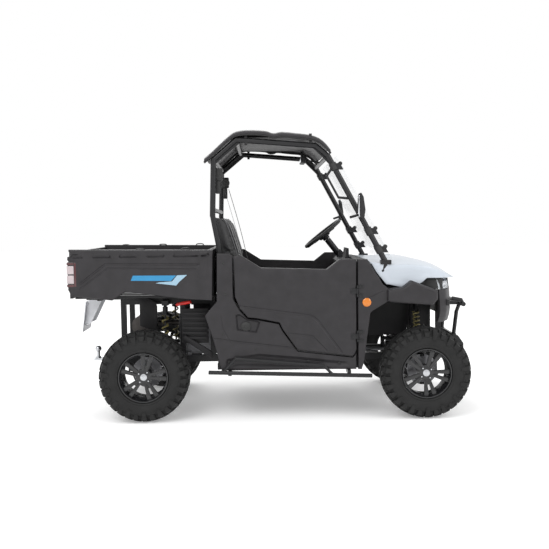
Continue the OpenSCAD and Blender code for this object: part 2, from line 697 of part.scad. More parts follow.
// Coil-over between a seat below and a beam above
module shock(foot, head) {
    eye_h = 24;
    low = foot + [0, 0, eye_h / 2];
    high = head - [0, 0, eye_h / 2];
    dir = (high - low) / norm(high - low);
    translate(foot) cylinder(h = eye_h, r = 14);
    translate(head - [0, 0, eye_h]) cylinder(h = eye_h, r = 14);
    rod(low, high, 8);
    rod(low + dir * 34, high - dir * 60, 28);
    rod(high - dir * 75, high - dir * 25, 22);
}

module shocks() color([0.75, 0.7, 0.35])
    both_sides() {
        shock([front_axle_x, 410, front_seat_z + seat_gap],
              [front_axle_x, shock_top_y, shock_beam_z - seat_gap]);
        shock([rear_axle_x + rear_shock_dx, 400, rear_seat_z + seat_gap],
              [rear_axle_x + rear_shock_dx, 345, support_rail_bot_z + 3 - seat_gap]);
    }

module rear_knuckles() color([0.3, 0.3, 0.31]) {
    both_sides()
        difference() {
            union() {
                block([rear_axle_x - 75, rear_knuckle_y - 15, hub_z - ball_dz],
                      [rear_axle_x + 75, rear_knuckle_y + 15, hub_z - 50]);
                block([rear_axle_x - 26, rear_knuckle_y - 15, hub_z - 60],
                      [rear_axle_x + 26, rear_knuckle_y + 15, hub_z + ball_dz]);
                cross_bar([rear_axle_x, rear_knuckle_y + rear_hub_end - 23, hub_z], 46, 23);
            }
            cross_bar([rear_axle_x, rear_knuckle_y, hub_z], rear_axle_r + pin_gap, 60);
        }
}

module driveline() color([0.35, 0.35, 0.36]) {
    shaft_z = (cross_top_z + floor_z) / 2;
    // Gearboxes at both axles, and the propeller shaft between them
    block([rear_axle_x - 100, -95, hub_z - 30], [rear_axle_x + 100, 95, hub_z + 75]);
    block([rear_axle_x + 40, -80, hub_z + 30], [engine_rear_x - seat_gap, 80, hub_z + 130]);
    block([front_axle_x - 60, -95, hub_z - 30], [front_axle_x + 100, 95, hub_z + 75]);
    rod([engine_front_x - 40, 60, shaft_z], [front_axle_x - 59, 60, shaft_z], 13);
    block([engine_front_x - 60, 30, cross_top_z + 1], [engine_front_x - 10, 90, rail_top_z + 3 - seat_gap]);
    // Half shafts with their joint boots
    both_sides() {
        rod([rear_axle_x, 90, hub_z], [rear_axle_x, rear_knuckle_y + 80, hub_z], rear_axle_r);
        rod([front_axle_x, 90, hub_z], [front_axle_x, kingpin_y - 40, hub_z], 14);
        for (x = [rear_axle_x, front_axle_x])
            rod([x, 94, hub_z], [x, 150, hub_z], 22);
        rod([rear_axle_x, rear_knuckle_y - 75, hub_z], [rear_axle_x, rear_knuckle_y - 20, hub_z], 30);
        rod([front_axle_x, kingpin_y - 98, hub_z], [front_axle_x, kingpin_y - 50, hub_z], 30);
    }
}

module engine_block() color([0.45, 0.45, 0.46]) {
    block([engine_rear_x, -165, rail_top_z + 3], [engine_front_x, 165, 700]);
    // Feet on the rails
    for (dx = [60, 180])
        both_sides()
            block([engine_rear_x + dx, 160, rail_top_z + seat_gap],
                  [engine_rear_x + dx + 30, rail_in_y + 30, rail_top_z + 22]);
}

module muffler() color([0.5, 0.5, 0.5]) {
    can_x = rear_axle_x - 90;
    can_z = 620;
    pipe_z = can_z - 10;
    hanger_z = support_rail_bot_z + 10;
    cross_bar([can_x, 0, can_z], 75, 160);
    rod([can_x + 60, 100, pipe_z], [engine_rear_x - 4, 100, pipe_z], 22);
    block([engine_rear_x - 6, 70, pipe_z - 30], [engine_rear_x - seat_gap, 130, pipe_z + 30]);
    // Hanger straps, and the bar from them to the cross member
    for (y = [-110, 110])
        block([can_x - 10, y - 10, can_z + 60], [can_x + 10, y + 10, hanger_z]);
    block([bed_hinge_x + 10, -130, hanger_z + 1], [can_x + 10, 130, hanger_z + 8]);
}

module tow_hitch() color([0.2, 0.2, 0.2]) {
    wall = 6;
    half = receiver_hole / 2 + wall;
    receiver_z = rail_bot_z + 2 - half - seat_gap;
    tail_x = hitch_tail_x;
    ball_x = rear_axle_x - 458;
    bar_half = receiver_hole / 2 - 0.5;
    bar_top_z = receiver_z + bar_half;
    difference() {
        block([tail_x, -half, receiver_z - half], [frame_rear_x + 60, half, receiver_z + half]);
        block([tail_x - 1, -receiver_hole / 2, receiver_z - receiver_hole / 2],
              [frame_rear_x + 61, receiver_hole / 2, receiver_z + receiver_hole / 2]);
        cross_bar([tail_x + 30, 0, receiver_z], hitch_pin_r, half + 2);
    }
    // Ball mount, drilled for the same pin
    difference() {
        union() {
            block([ball_x + 30, -bar_half, receiver_z - bar_half],
                  [frame_rear_x + 40, bar_half, receiver_z + bar_half]);
            block([ball_x - 30, -32, bar_top_z - 6], [ball_x + 60, 32, bar_top_z + 10]);
            translate([ball_x, 0, bar_top_z + 9]) cylinder(h = tow_ball_z - bar_top_z - 10, r = 12.5);
            translate([ball_x, 0, bar_top_z + 9]) cylinder(h = 14, r = 20);
            translate([ball_x, 0, tow_ball_z]) sphere(r = tow_ball_d / 2);
        }
        cross_bar([tail_x + 30, 0, receiver_z], hitch_pin_r, half + 2);
    }
}

module steering_wheel() color([0.08, 0.08, 0.08]) {
    rim_mid_r = steering_wheel_d / 2 - rim_tube_r;
    translate([steering_x, driver_y, steering_z])
        rotate([0, -steering_tilt, 0]) {
            rotate_extrude() translate([rim_mid_r, 0]) circle(r = rim_tube_r);
            // Spokes and hub
            for (angle = [60, 180, 300])
                rotate([0, 0, angle])
                    block([30, -18, -24], [rim_mid_r - 4, 18, -6]);
            translate([0, 0, -45]) cylinder(h = 45, r = 55);
            translate([0, 0, -115]) cylinder(h = 75, r = column_shaft_r);
        }
}

module tie_rods() color([0.4, 0.4, 0.42]) {
    rod([tie_rod_x, -kingpin_y, tie_rod_z], [tie_rod_x, kingpin_y, tie_rod_z], tie_rod_r);
    both_sides()
        translate([tie_rod_x, kingpin_y, tie_rod_z]) cylinder(h = 22, r = 14, center = true);
}

module front_knuckle_left() color([0.3, 0.3, 0.31]) {
    arm_top_z = tie_rod_z - 11 - 6;
    difference() {
        union() {
            block([front_axle_x - 22, kingpin_y - 15, hub_z - knuckle_half_h],
                  [front_axle_x + 22, kingpin_y + 15, hub_z + knuckle_half_h]);
            cross_bar([front_axle_x, kingpin_y + knuckle_hub_end / 3, hub_z], 44, knuckle_hub_end * 2 / 3);
            // Spindle in the hub of the wheel
            cross_bar([front_axle_x, kingpin_y + 60, hub_z], spindle_r, 45);
            // Steering arm, back to the tie rod
            block([tie_rod_x - 12, kingpin_y - 14, arm_top_z - 14],
                  [front_axle_x - 20, kingpin_y + 8, arm_top_z]);
        }
        for (side = [-1, 1])
            translate([front_axle_x, kingpin_y, hub_z + side * (knuckle_half_h - 15)])
                cylinder(h = 31, r = stud_r + pin_gap, center = true);
    }
}

module front_knuckle_right() mirror([0, 1, 0]) front_knuckle_left();

// Tyre round the Y axis at its own middle
module tyre(width) {
    half = width / 2;
    rotate([90, 0, 0])
        rotate_extrude($fn = 96)
            polygon([[rim_r + seat_gap, -half + 24], [rim_r + 14, -half + 6], [tyre_r - 75, -half],
                     [tyre_r - 22, -half + 10], [tyre_r, -half + 42], [tyre_r, half - 42],
                     [tyre_r - 22, half - 10], [tyre_r - 75, half], [rim_r + 14, half - 6],
                     [rim_r + seat_gap, half - 24]]);
}

// Rim with twin spokes round the Y axis, its face towards +Y
module rim(width, hub_in_y, bore_r) {
    half = width / 2 - 14;
    barrel_t = 12;
    face_y = half - 44;
    spoke_in_r = 46;
    spoke_out_r = rim_r - barrel_t + 3;
    difference() {
        union() {
            rotate([90, 0, 0])
                difference() {
                    cylinder(h = 2 * half, r = rim_r, center = true, $fn = 96);
                    cylinder(h = 2 * half + 2, r = rim_r - barrel_t, center = true, $fn = 96);
                }
            for (i = [0 : spoke_count - 1])
                rotate([0, i * 360 / spoke_count, 0])
                    side_slab([[spoke_in_r, -14], [spoke_out_r, -37], [spoke_out_r, -19],
                               [spoke_in_r + 42, 0], [spoke_out_r, 19], [spoke_out_r, 37], [spoke_in_r, 14]],
                              face_y, face_y + 22);
            cross_bar([0, face_y + 11, 0], 62, 13);
            cross_bar([0, face_y + 18, 0], 27, 14);
            // Hub and brake disc on the inside
            cross_bar([0, (hub_in_y + face_y) / 2 + 1, 0], 40, (face_y - hub_in_y) / 2 + 1);
            cross_bar([0, hub_in_y + 14, 0], 112, 3);
        }
        cross_bar([0, hub_in_y, 0], bore_r, 72);
    }
}

module front_tyre_left() color([0.1, 0.1, 0.1])
    translate([front_axle_x, front_track_y, hub_z]) tyre(front_tyre_w);
module front_tyre_right() mirror([0, 1, 0]) front_tyre_left();
module rear_tyre_left() color([0.1, 0.1, 0.1])
    translate([rear_axle_x, rear_track_y, hub_z]) tyre(rear_tyre_w);
module rear_tyre_right() mirror([0, 1, 0]) rear_tyre_left();
module front_rim_left() color([0.06, 0.06, 0.07])
    translate([front_axle_x, front_track_y, hub_z])
        rim(front_tyre_w, kingpin_y + knuckle_hub_end + pin_gap - front_track_y, spindle_r + pin_gap);
module front_rim_right() mirror([0, 1, 0]) front_rim_left();
module rear_rim_left() color([0.06, 0.06, 0.07])
    translate([rear_axle_x, rear_track_y, hub_z])
        rim(rear_tyre_w, rear_knuckle_y + rear_hub_end + pin_gap - rear_track_y, rear_axle_r + pin_gap);
module rear_rim_right() mirror([0, 1, 0]) rear_rim_left();

module door_left() color([0.19, 0.19, 0.2]) {
    top = [[door_rear_x, 1168], [door_rear_x + 25, 1176], [door_rear_x + 46, 1175], [door_rear_x + 191, 1083],
           [door_rear_x + 655, 1066], [door_front_x - 115, 1138]];
    difference() {
        side_slab(concat([[door_front_x, 1137]], door_sill_line(door_gap), top), door_in_y, door_half_w);
        for (z = hinge_zs)
            translate([hinge_x, hinge_y, z - 50]) cylinder(h = 100, r = 12);
    }
    for (z = hinge_zs)
        difference() {
            union() {
                translate([hinge_x, hinge_y, z - hinge_half_h]) cylinder(h = 2 * hinge_half_h, r = hinge_r);
                block([hinge_x - 44, door_half_w, z - hinge_half_h],
                      [hinge_x - 3, door_half_w + 5, z + hinge_half_h]);
            }
            translate([hinge_x, hinge_y, z - 50]) cylinder(h = 100, r = hinge_pin_r + pin_gap);
        }
    // Inner handle bar
    block([door_rear_x + 120, door_in_y - 18, 1000], [door_rear_x + 260, door_in_y, 1020]);
}
module door_right() mirror([0, 1, 0]) door_left();

module bed_tub() color([0.2, 0.2, 0.21]) {
    wall_in_y = bed_half_w - bed_side_t;
    r = bed_rear_x;
    t = bed_top_z;
    side = [[r + 12, t + 12], [r + 12, t], [r + 24, t - 24], [r + 24, t - 35], [r + 3, t - 38],
            [r + 1, t - 59], [r + 10, t - 73], [r + 4, t - 249], [r + 3, t - 270], [r + 25, t - 316],
            [r + 309, t - 350], [r + 404, t - 289], [r + 472, t - 298], [bed_front_x - 179, t - 349],
            [bed_front_x - 10, t - 359], [bed_front_x, t - 3]];
    both_sides()
        difference() {
            side_slab(side, wall_in_y, bed_half_w);
            // Pocket for the tail light
            block([r - 5, tail_light_in_y, tail_light_bot_z], [r + 68, bed_half_w + 5, tail_light_top_z]);
        }
    // Ears for the tailgate hinge
    both_sides()
        block([r + 1, wall_in_y, tailgate_hinge_z - 12], [r + 30, wall_in_y + 16, bed_floor_z + 40]);
    // Floor with shallow ribs, and the front wall
    block([r + tailgate_t + 6, -wall_in_y, bed_rail_top_z], [bed_front_x, wall_in_y, bed_floor_z - 6]);
    for (i = [0 : 9])
        block([r + 60, -580 + i * 122, bed_floor_z - 6], [bed_front_x - 60, -518 + i * 122, bed_floor_z]);
    block([bed_front_x - 50, -wall_in_y, bed_floor_z - 6], [bed_front_x, wall_in_y, bed_top_z - 3]);
}

module bed_subframe() color([0.1, 0.1, 0.11]) {
    both_sides()
        difference() {
            block([bed_rear_x + 40, bed_rail_in_y, bed_rail_bot_z],
                  [bed_front_x - 12, bed_rail_out_y, bed_rail_top_z]);
            cross_bar([bed_hinge_x, support_rail_y, bed_hinge_z], bed_hinge_r + pin_gap, 100);
        }
    for (x = [bed_rear_x + 60, bed_front_x - 90])
        block([x, -bed_rail_in_y - 5, bed_hinge_z + 6], [x + 30, bed_rail_in_y + 5, bed_rail_top_z - 1]);
    // Hangers of the side walls
    for (x = [rear_axle_x - 330, rear_axle_x + 400])
        both_sides()
            block([x, bed_rail_out_y - 2, bed_rail_top_z - 16],
                  [x + 30, bed_half_w - bed_side_t - 4, bed_rail_top_z]);
}

module tail_lights() color([0.75, 0.1, 0.1]) {
    both_sides()
        block([bed_rear_x - 3, tail_light_in_y + seat_gap, tail_light_bot_z + seat_gap],
              [bed_rear_x + 68 - seat_gap, bed_half_w + 2, tail_light_top_z - seat_gap]);
}

module plate_bracket() color([0.8, 0.8, 0.82]) {
    tail_x = rear_axle_x - rear_overhang;
    // Blank number plate on a bent bracket under the bed
    side_slab([[tail_x + 31, 810], [tail_x + 36, 810], [tail_x + 5, 575], [tail_x, 578]], -150, 150);
    for (y = [-100, 88]) {
        side_slab([[tail_x + 35, 806], [bed_rear_x + 42, bed_rail_bot_z + 4],
                   [bed_rear_x + 130, bed_rail_bot_z + 4], [tail_x + 60, 640], [tail_x + 14, 620]],
                  y, y + 12);
        block([bed_rear_x + 62, y, bed_rail_bot_z + 3],
              [bed_rear_x + 88, y + 12, bed_hinge_z + 6 - seat_gap]);
    }
}

module tailgate() color([0.19, 0.19, 0.2]) {
    wall_in_y = bed_half_w - bed_side_t;
    half_w = wall_in_y - 6;
    difference() {
        union() {
            block([bed_rear_x, -half_w, tailgate_hinge_z], [bed_rear_x + tailgate_t, half_w, bed_top_z - 6]);
            cross_bar([tailgate_hinge_x, 0, tailgate_hinge_z], 10, wall_in_y - pin_gap);
        }
        // Recess for the latch handle
        block([bed_rear_x - 1, -90, 1090], [bed_rear_x + 14, 90, 1150]);
    }
}

chassis_frame();
front_bumper();
front_fascia();
headlights();
hood();
front_fenders();
dashboard();
cab_floor();
side_panels();
step_bars();
seat_cushion();
seat_backs();
rear_bulkhead();
roll_cage();
roof();
windshield();
mirrors();
steering_column();
front_a_arms();
rear_a_arms();
shocks();
rear_knuckles();
driveline();
engine_block();
muffler();
tow_hitch();
steering_wheel();
tie_rods();
front_knuckle_right();
front_knuckle_left();
front_tyre_right();
front_tyre_left();
rear_tyre_right();
rear_tyre_left();
front_rim_right();
front_rim_left();
rear_rim_right();
rear_rim_left();
door_right();
door_left();
bed_tub();
bed_subframe();
tail_lights();
plate_bracket();
tailgate();
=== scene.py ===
"""Visual model of a side-by-side utility vehicle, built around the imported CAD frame."""
import math

import bmesh
import bpy
import numpy as np
from mathutils import Matrix, Vector
from mathutils.geometry import delaunay_2d_cdt


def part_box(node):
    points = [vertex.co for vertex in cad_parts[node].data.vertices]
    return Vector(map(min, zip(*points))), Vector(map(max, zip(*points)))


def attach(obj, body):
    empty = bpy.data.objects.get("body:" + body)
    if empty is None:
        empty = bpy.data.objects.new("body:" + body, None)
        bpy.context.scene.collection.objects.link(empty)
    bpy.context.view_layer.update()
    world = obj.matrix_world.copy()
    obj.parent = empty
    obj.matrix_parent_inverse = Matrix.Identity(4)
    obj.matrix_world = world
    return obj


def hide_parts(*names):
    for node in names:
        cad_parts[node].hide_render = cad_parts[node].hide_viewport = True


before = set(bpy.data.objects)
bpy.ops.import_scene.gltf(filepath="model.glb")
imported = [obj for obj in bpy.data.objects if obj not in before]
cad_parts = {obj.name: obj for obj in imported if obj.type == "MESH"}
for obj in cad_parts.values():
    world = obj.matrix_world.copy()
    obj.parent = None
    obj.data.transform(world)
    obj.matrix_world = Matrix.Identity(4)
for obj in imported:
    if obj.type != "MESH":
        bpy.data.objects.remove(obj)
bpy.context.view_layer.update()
scene = bpy.context.scene

MM = 0.001
SIDES = (("left", 1), ("right", -1))


# ---------------------------------------------------------------- places from the frame
def middle(node):
    """Middle of a CAD node's box."""
    low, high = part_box(node)
    return Vector([(a + b) / 2 for a, b in zip(low, high)])


rear_x = middle("rear_tyre_left")[0]
front_x = middle("front_tyre_left")[0]
cab_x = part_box("rear_bulkhead")[0][0]
panel_out_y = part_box("side_panels")[1][1]
door_out_y = panel_out_y + 0.010
hinge_x = front_x - 0.485
hinge_heights = (0.590, 0.910)
bed_out_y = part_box("bed_tub")[1][1]
roof_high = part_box("roof")[1]


def along(base_x, *points):
    """Outline points, given in millimetres from a station, as metres in X and Z."""
    return [(base_x + x * MM, z * MM) for x, z in points]


# ---------------------------------------------------------------- camera
camera_data = bpy.data.cameras.new("camera")
camera = bpy.data.objects.new("camera", camera_data)
scene.collection.objects.link(camera)
camera_data.sensor_width = 36.0
camera_data.lens = 53.64
camera_place = (-0.070, -6.45, 1.389)
camera_yaw = math.radians(0.875)
camera_pitch = math.radians(-3.53)
camera_roll = math.radians(0.749)
look = Vector((math.sin(camera_yaw) * math.cos(camera_pitch),
               math.cos(camera_yaw) * math.cos(camera_pitch), math.sin(camera_pitch)))
level = Vector((math.cos(camera_yaw), -math.sin(camera_yaw), 0.0))
upward = level.cross(look)
right = math.cos(camera_roll) * level - math.sin(camera_roll) * upward
up = math.sin(camera_roll) * level + math.cos(camera_roll) * upward
camera_turn = Matrix((right, up, -look)).transposed().to_4x4()
camera.matrix_world = Matrix.Translation(camera_place) @ camera_turn
scene.camera = camera


# ---------------------------------------------------------------- materials
def surface(name, colour, rough, metal=0.0, grain=0.0, grain_size=0.002, mottle=0.12, coat=0.0, blotch=0.08,
            shine=0.5):
    """Principled material with colour variation and a fine grain that also breaks up the gloss."""
    material = bpy.data.materials.new(name)
    material.use_nodes = True
    nodes = material.node_tree.nodes
    links = material.node_tree.links
    shader = nodes["Principled BSDF"]
    shader.inputs["Metallic"].default_value = metal
    shader.inputs["Specular IOR Level"].default_value = shine
    shader.inputs["Coat Weight"].default_value = coat
    shader.inputs["Coat Roughness"].default_value = 0.12
    place = nodes.new("ShaderNodeTexCoord")
    cloud = nodes.new("ShaderNodeTexNoise")
    cloud.inputs["Scale"].default_value = 1 / blotch
    cloud.inputs["Detail"].default_value = 6.0
    links.new(place.outputs["Object"], cloud.inputs["Vector"])
    ramp = nodes.new("ShaderNodeValToRGB")
    ramp.color_ramp.elements[0].position = 0.3
    ramp.color_ramp.elements[1].position = 0.75
    ramp.color_ramp.elements[0].color = [c * (1 - mottle) for c in colour] + [1]
    ramp.color_ramp.elements[1].color = [min(1, c * (1 + mottle)) for c in colour] + [1]
    links.new(cloud.outputs["Fac"], ramp.inputs["Fac"])
    links.new(ramp.outputs["Color"], shader.inputs["Base Color"])
    polish = nodes.new("ShaderNodeMapRange")
    polish.inputs["To Min"].default_value = max(0.03, rough - 0.08)
    polish.inputs["To Max"].default_value = min(1.0, rough + 0.1)
    links.new(cloud.outputs["Fac"], polish.inputs["Value"])
    links.new(polish.outputs["Result"], shader.inputs["Roughness"])
    if grain:
        speck = nodes.new("ShaderNodeTexNoise")
        speck.inputs["Scale"].default_value = 1 / grain_size
        speck.inputs["Detail"].default_value = 3.0
        links.new(place.outputs["Object"], speck.inputs["Vector"])
        bump = nodes.new("ShaderNodeBump")
        bump.inputs["Strength"].default_value = grain
        bump.inputs["Distance"].default_value = 0.001
        links.new(speck.outputs["Fac"], bump.inputs["Height"])
        links.new(bump.outputs["Normal"], shader.inputs["Normal"])
    return material


def clear(name, colour, rough, tint_alpha):
    """Thin clear plastic or glass: mostly see-through and glossy."""
    material = surface(name, colour, rough, mottle=0.05, shine=0.35)
    shader = material.node_tree.nodes["Principled BSDF"]
    shader.inputs["Alpha"].default_value = tint_alpha
    material.surface_render_method = "BLENDED"
    return material


body_plastic = surface("body_plastic", (0.021, 0.0195, 0.0215), 0.46, grain=0.5, grain_size=0.0028,
                       mottle=0.2, shine=0.32)
lower_plastic = surface("lower_plastic", (0.013, 0.0125, 0.0135), 0.52, grain=0.5, grain_size=0.0022,
                        mottle=0.2, shine=0.3)
cab_plastic = surface("cab_plastic", (0.015, 0.015, 0.016), 0.55, grain=0.5, grain_size=0.002, mottle=0.2,
                      shine=0.3)
hood_paint = surface("hood_paint", (0.46, 0.50, 0.55), 0.32, coat=0.25, mottle=0.02, blotch=0.6, shine=0.4)
frame_paint = surface("frame_paint", (0.010, 0.010, 0.011), 0.36, grain=0.25, grain_size=0.003, shine=0.35)
tyre_rubber = surface("tyre_rubber", (0.011, 0.011, 0.011), 0.68, grain=0.5, grain_size=0.003, mottle=0.35,
                      shine=0.3)
rim_paint = surface("rim_paint", (0.008, 0.008, 0.009), 0.26, coat=0.3, grain=0.08, grain_size=0.004,
                    shine=0.45)
bright_metal = surface("bright_metal", (0.50, 0.51, 0.53), 0.22, metal=1.0, grain=0.12, grain_size=0.003)
cast_metal = surface("cast_metal", (0.20, 0.20, 0.21), 0.5, metal=0.8, grain=0.6, grain_size=0.0025)
disc_steel = surface("disc_steel", (0.20, 0.20, 0.21), 0.34, metal=1.0, grain=0.2, grain_size=0.001,
                     mottle=0.25)
exhaust_steel = surface("exhaust_steel", (0.12, 0.11, 0.105), 0.42, metal=0.9, grain=0.3, grain_size=0.004,
                        mottle=0.4)
vinyl = surface("vinyl", (0.020, 0.020, 0.021), 0.48, grain=0.55, grain_size=0.0035, mottle=0.2)
piping = surface("piping", (0.09, 0.09, 0.095), 0.5, grain=0.3, grain_size=0.0015)
webbing = surface("webbing", (0.020, 0.020, 0.021), 0.8, grain=0.9, grain_size=0.0016, mottle=0.3)
grip_rubber = surface("grip_rubber", (0.014, 0.014, 0.014), 0.6, grain=0.5, grain_size=0.0015)
spring_paint = surface("spring_paint", (0.20, 0.17, 0.06), 0.38, grain=0.12, grain_size=0.004)
lamp_red = surface("lamp_red", (0.060, 0.010, 0.012), 0.14, coat=0.4, mottle=0.1, grain=0.2, grain_size=0.006)
lamp_white = surface("lamp_white", (0.42, 0.36, 0.37), 0.16, coat=0.5, mottle=0.06, grain=0.2,
                     grain_size=0.006)
lamp_amber = surface("lamp_amber", (0.56, 0.16, 0.006), 0.18, coat=0.4, mottle=0.08, grain=0.25,
                     grain_size=0.004)
mirror_glass = surface("mirror_glass", (0.75, 0.77, 0.80), 0.06, metal=1.0, mottle=0.02)
red_grip = surface("red_grip", (0.60, 0.025, 0.020), 0.4, grain=0.3, grain_size=0.002)
stripe_blue = surface("stripe_blue", (0.016, 0.20, 0.40), 0.35, coat=0.1, mottle=0.05, grain=0.2,
                      grain_size=0.002)
stripe_pale = surface("stripe_pale", (0.26, 0.40, 0.50), 0.35, coat=0.1, mottle=0.05, grain=0.2,
                      grain_size=0.002)
plate_white = surface("plate_white", (0.66, 0.67, 0.70), 0.35, metal=0.2, grain=0.1, grain_size=0.004)
shield_clear = clear("shield_clear", (0.72, 0.79, 0.85), 0.06, 0.13)
lens_clear = clear("lens_clear", (0.86, 0.90, 0.94), 0.05, 0.30)


# ---------------------------------------------------------------- mesh tools
def add(name, verts, faces, material, body, slot, replaces=(), sharp=35):
    """Object from points and faces, shaded smooth apart from its sharp edges, riding on a body."""
    mesh = bpy.data.meshes.new(name)
    mesh.from_pydata([tuple(v) for v in verts], [], [tuple(f) for f in faces])
    mesh.validate()
    return settle(name, mesh, material, body, replaces, sharp)


def settle(name, mesh, material, body, replaces=(), sharp=35):
    """Gives a finished mesh its object, material, shading and body."""
    tidy = bmesh.new()
    tidy.from_mesh(mesh)
    bmesh.ops.remove_doubles(tidy, verts=tidy.verts, dist=1e-6)
    bmesh.ops.recalc_face_normals(tidy, faces=tidy.faces)
    tidy.to_mesh(mesh)
    tidy.free()
    mesh.materials.clear()
    mesh.materials.append(material)
    mesh.polygons.foreach_set("use_smooth", [True] * len(mesh.polygons))
    mesh.set_sharp_from_angle(angle=math.radians(sharp))
    piece = bpy.data.objects.new(name, mesh)
    scene.collection.objects.link(piece)
    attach(piece, body)
    if replaces:
        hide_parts(*replaces)
    return piece


def join(*parts):
    """Several (points, faces) lists as one."""
    verts, faces = [], []
    for part_verts, part_faces in parts:
        start = len(verts)
        verts += [tuple(v) for v in part_verts]
        faces += [tuple(start + i for i in face) for face in part_faces]
    return verts, faces


def flipped(part):
    """The mirror image in Y."""
    verts, faces = part
    return [(v[0], -v[1], v[2]) for v in verts], [tuple(reversed(face)) for face in faces]


def on_side(part, side):
    """The part as modelled for the left, or its mirror image for the right."""
    return part if side > 0 else flipped(part)


def moved(part, shift=(0, 0, 0), turn=None):
    """The part turned by a matrix and shifted."""
    verts, faces = part
    turn = turn or Matrix.Identity(3)
    return [tuple(turn @ Vector(v) + Vector(shift)) for v in verts], faces


def rounded_slab(outline, y_from, y_to, bevel=0.004, segments=2):
    """Outline in X and Z pulled along Y, with rounded edges."""
    shape = bmesh.new()
    ring = [shape.verts.new((x, y_from, z)) for x, z in outline]
    face = shape.faces.new(ring)
    pulled = bmesh.ops.extrude_face_region(shape, geom=[face])
    top = [v for v in pulled["geom"] if isinstance(v, bmesh.types.BMVert)]
    bmesh.ops.translate(shape, verts=top, vec=(0, y_to - y_from, 0))
    return rounded(shape, bevel, segments)


def rounded(shape, bevel, segments=2):
    """Bevels a bmesh's sharp edges and hands it over as points and faces."""
    bmesh.ops.recalc_face_normals(shape, faces=shape.faces)
    if bevel:
        edges = [e for e in shape.edges if e.is_manifold and e.calc_face_angle(0) > math.radians(28)]
        bmesh.ops.bevel(shape, geom=edges, offset=bevel, segments=segments, affect="EDGES", profile=0.5,
                        clamp_overlap=True)
    shape.verts.index_update()
    verts = [tuple(v.co) for v in shape.verts]
    faces = [tuple(v.index for v in f.verts) for f in shape.faces]
    shape.free()
    return verts, faces


def slab(low, high, bevel=0.004, segments=2):
    """Box between two corners with rounded edges."""
    return rounded_slab([(low[0], low[2]), (high[0], low[2]), (high[0], high[2]), (low[0], high[2])],
                        low[1], high[1], bevel, segments)


def lathe(profile, steps=96):
    """Profile of (radius, y) turned round the Y axis and closed on itself."""
    count = len(profile)
    verts = []
    for i in range(steps):
        angle = 2 * math.pi * i / steps
        verts += [(r * math.cos(angle), y, r * math.sin(angle)) for r, y in profile]
    faces = []
    for i in range(steps):
        for k in range(count):
            a, b = i * count, (i + 1) % steps * count
            faces.append((a + k, a + (k + 1) % count, b + (k + 1) % count, b + k))
    return verts, faces


def pipe(points, radius, smooth=3, sides=14, closed=False):
    """Tube through points with its corners cut round."""
    line = [Vector(p) for p in points]
    for _ in range(smooth):
        cut = [] if closed else [line[0]]
        span = len(line) if closed else len(line) - 1
        for i in range(span):
            a, b = line[i], line[(i + 1) % len(line)]
            if closed or i > 0:
                cut.append(a.lerp(b, 0.25))
            if closed or i < span - 1:
                cut.append(a.lerp(b, 0.75))
        line = cut if closed else cut + [line[-1]]
    verts, faces = [], []
    count = len(line)
    side = None
    for i, point in enumerate(line):
        ahead = line[(i + 1) % count] if closed or i < count - 1 else point
        behind = line[i - 1] if closed or i > 0 else point
        run = (ahead - behind).normalized()
        if side is None:
            side = run.cross(Vector((0, 1, 0)) if abs(run[1]) < 0.8 else Vector((0, 0, 1))).normalized()
        side = (side - run * side.dot(run)).normalized()
        other = run.cross(side)
        for k in range(sides):
            turn = 2 * math.pi * k / sides
            verts.append(point + radius * (math.cos(turn) * side + math.sin(turn) * other))
    for i in range(count if closed else count - 1):
        a, b = i * sides, (i + 1) % count * sides
        faces += [(a + k, a + (k + 1) % sides, b + (k + 1) % sides, b + k) for k in range(sides)]
    if not closed:
        faces.append(tuple(reversed(range(sides))))
        faces.append(tuple(range((count - 1) * sides, count * sides)))
    return verts, faces


def disc(centre, radius, half_l, axis="Y", chamfer=0.002, steps=32):
    """Short round bar with chamfered ends."""
    ring = [(radius - chamfer, -half_l), (radius, -half_l + chamfer), (radius, half_l - chamfer),
            (radius - chamfer, half_l)]
    verts = []
    for i in range(steps):
        angle = 2 * math.pi * i / steps
        for r, h in ring:
            across = (r * math.cos(angle), r * math.sin(angle))
            at = {"Y": (across[0], h, across[1]), "Z": (*across, h), "X": (h, *across)}[axis]
            verts.append(tuple(c + d for c, d in zip(centre, at)))
    faces = []
    for i in range(steps):
        a, b = 4 * i, 4 * ((i + 1) % steps)
        faces += [(a + k, a + k + 1, b + k + 1, b + k) for k in range(3)]
    faces.append(tuple(4 * i for i in range(steps)))
    faces.append(tuple(4 * i + 3 for i in range(steps)))
    return verts, faces


# ---------------------------------------------------------------- moulded panels
def point_to_line(points, line, closed=False):
    """Distance from each point to a polyline, all in X and Z."""
    best = np.full(len(points), 1e9)
    corners = np.array(line + [line[0]] if closed else line)
    for a, b in zip(corners[:-1], corners[1:]):
        run = b - a
        share = np.clip(((points - a) @ run) / max(run @ run, 1e-12), 0, 1)
        best = np.minimum(best, np.linalg.norm(points - a - share[:, None] * run, axis=1))
    return best


def inside(points, outline):
    """Which points lie within an outline."""
    hit = np.zeros(len(points), bool)
    x, z = points[:, 0], points[:, 1]
    for (ax, az), (bx, bz) in zip(outline, outline[1:] + outline[:1]):
        if az != bz:
            crosses = (az > z) != (bz > z)
            hit ^= crosses & (x < (bx - ax) * (z - az) / (bz - az) + ax)
    return hit


def dense(line, step, closed=False):
    """A polyline cut into short lengths."""
    out = []
    ends = line[1:] + line[:1] if closed else line[1:]
    for (ax, az), (bx, bz) in zip(line, ends):
        count = max(1, round(math.hypot(bx - ax, bz - az) / step))
        out += [(ax + (bx - ax) * i / count, az + (bz - az) * i / count) for i in range(count)]
    return out if closed else out + [line[-1]]


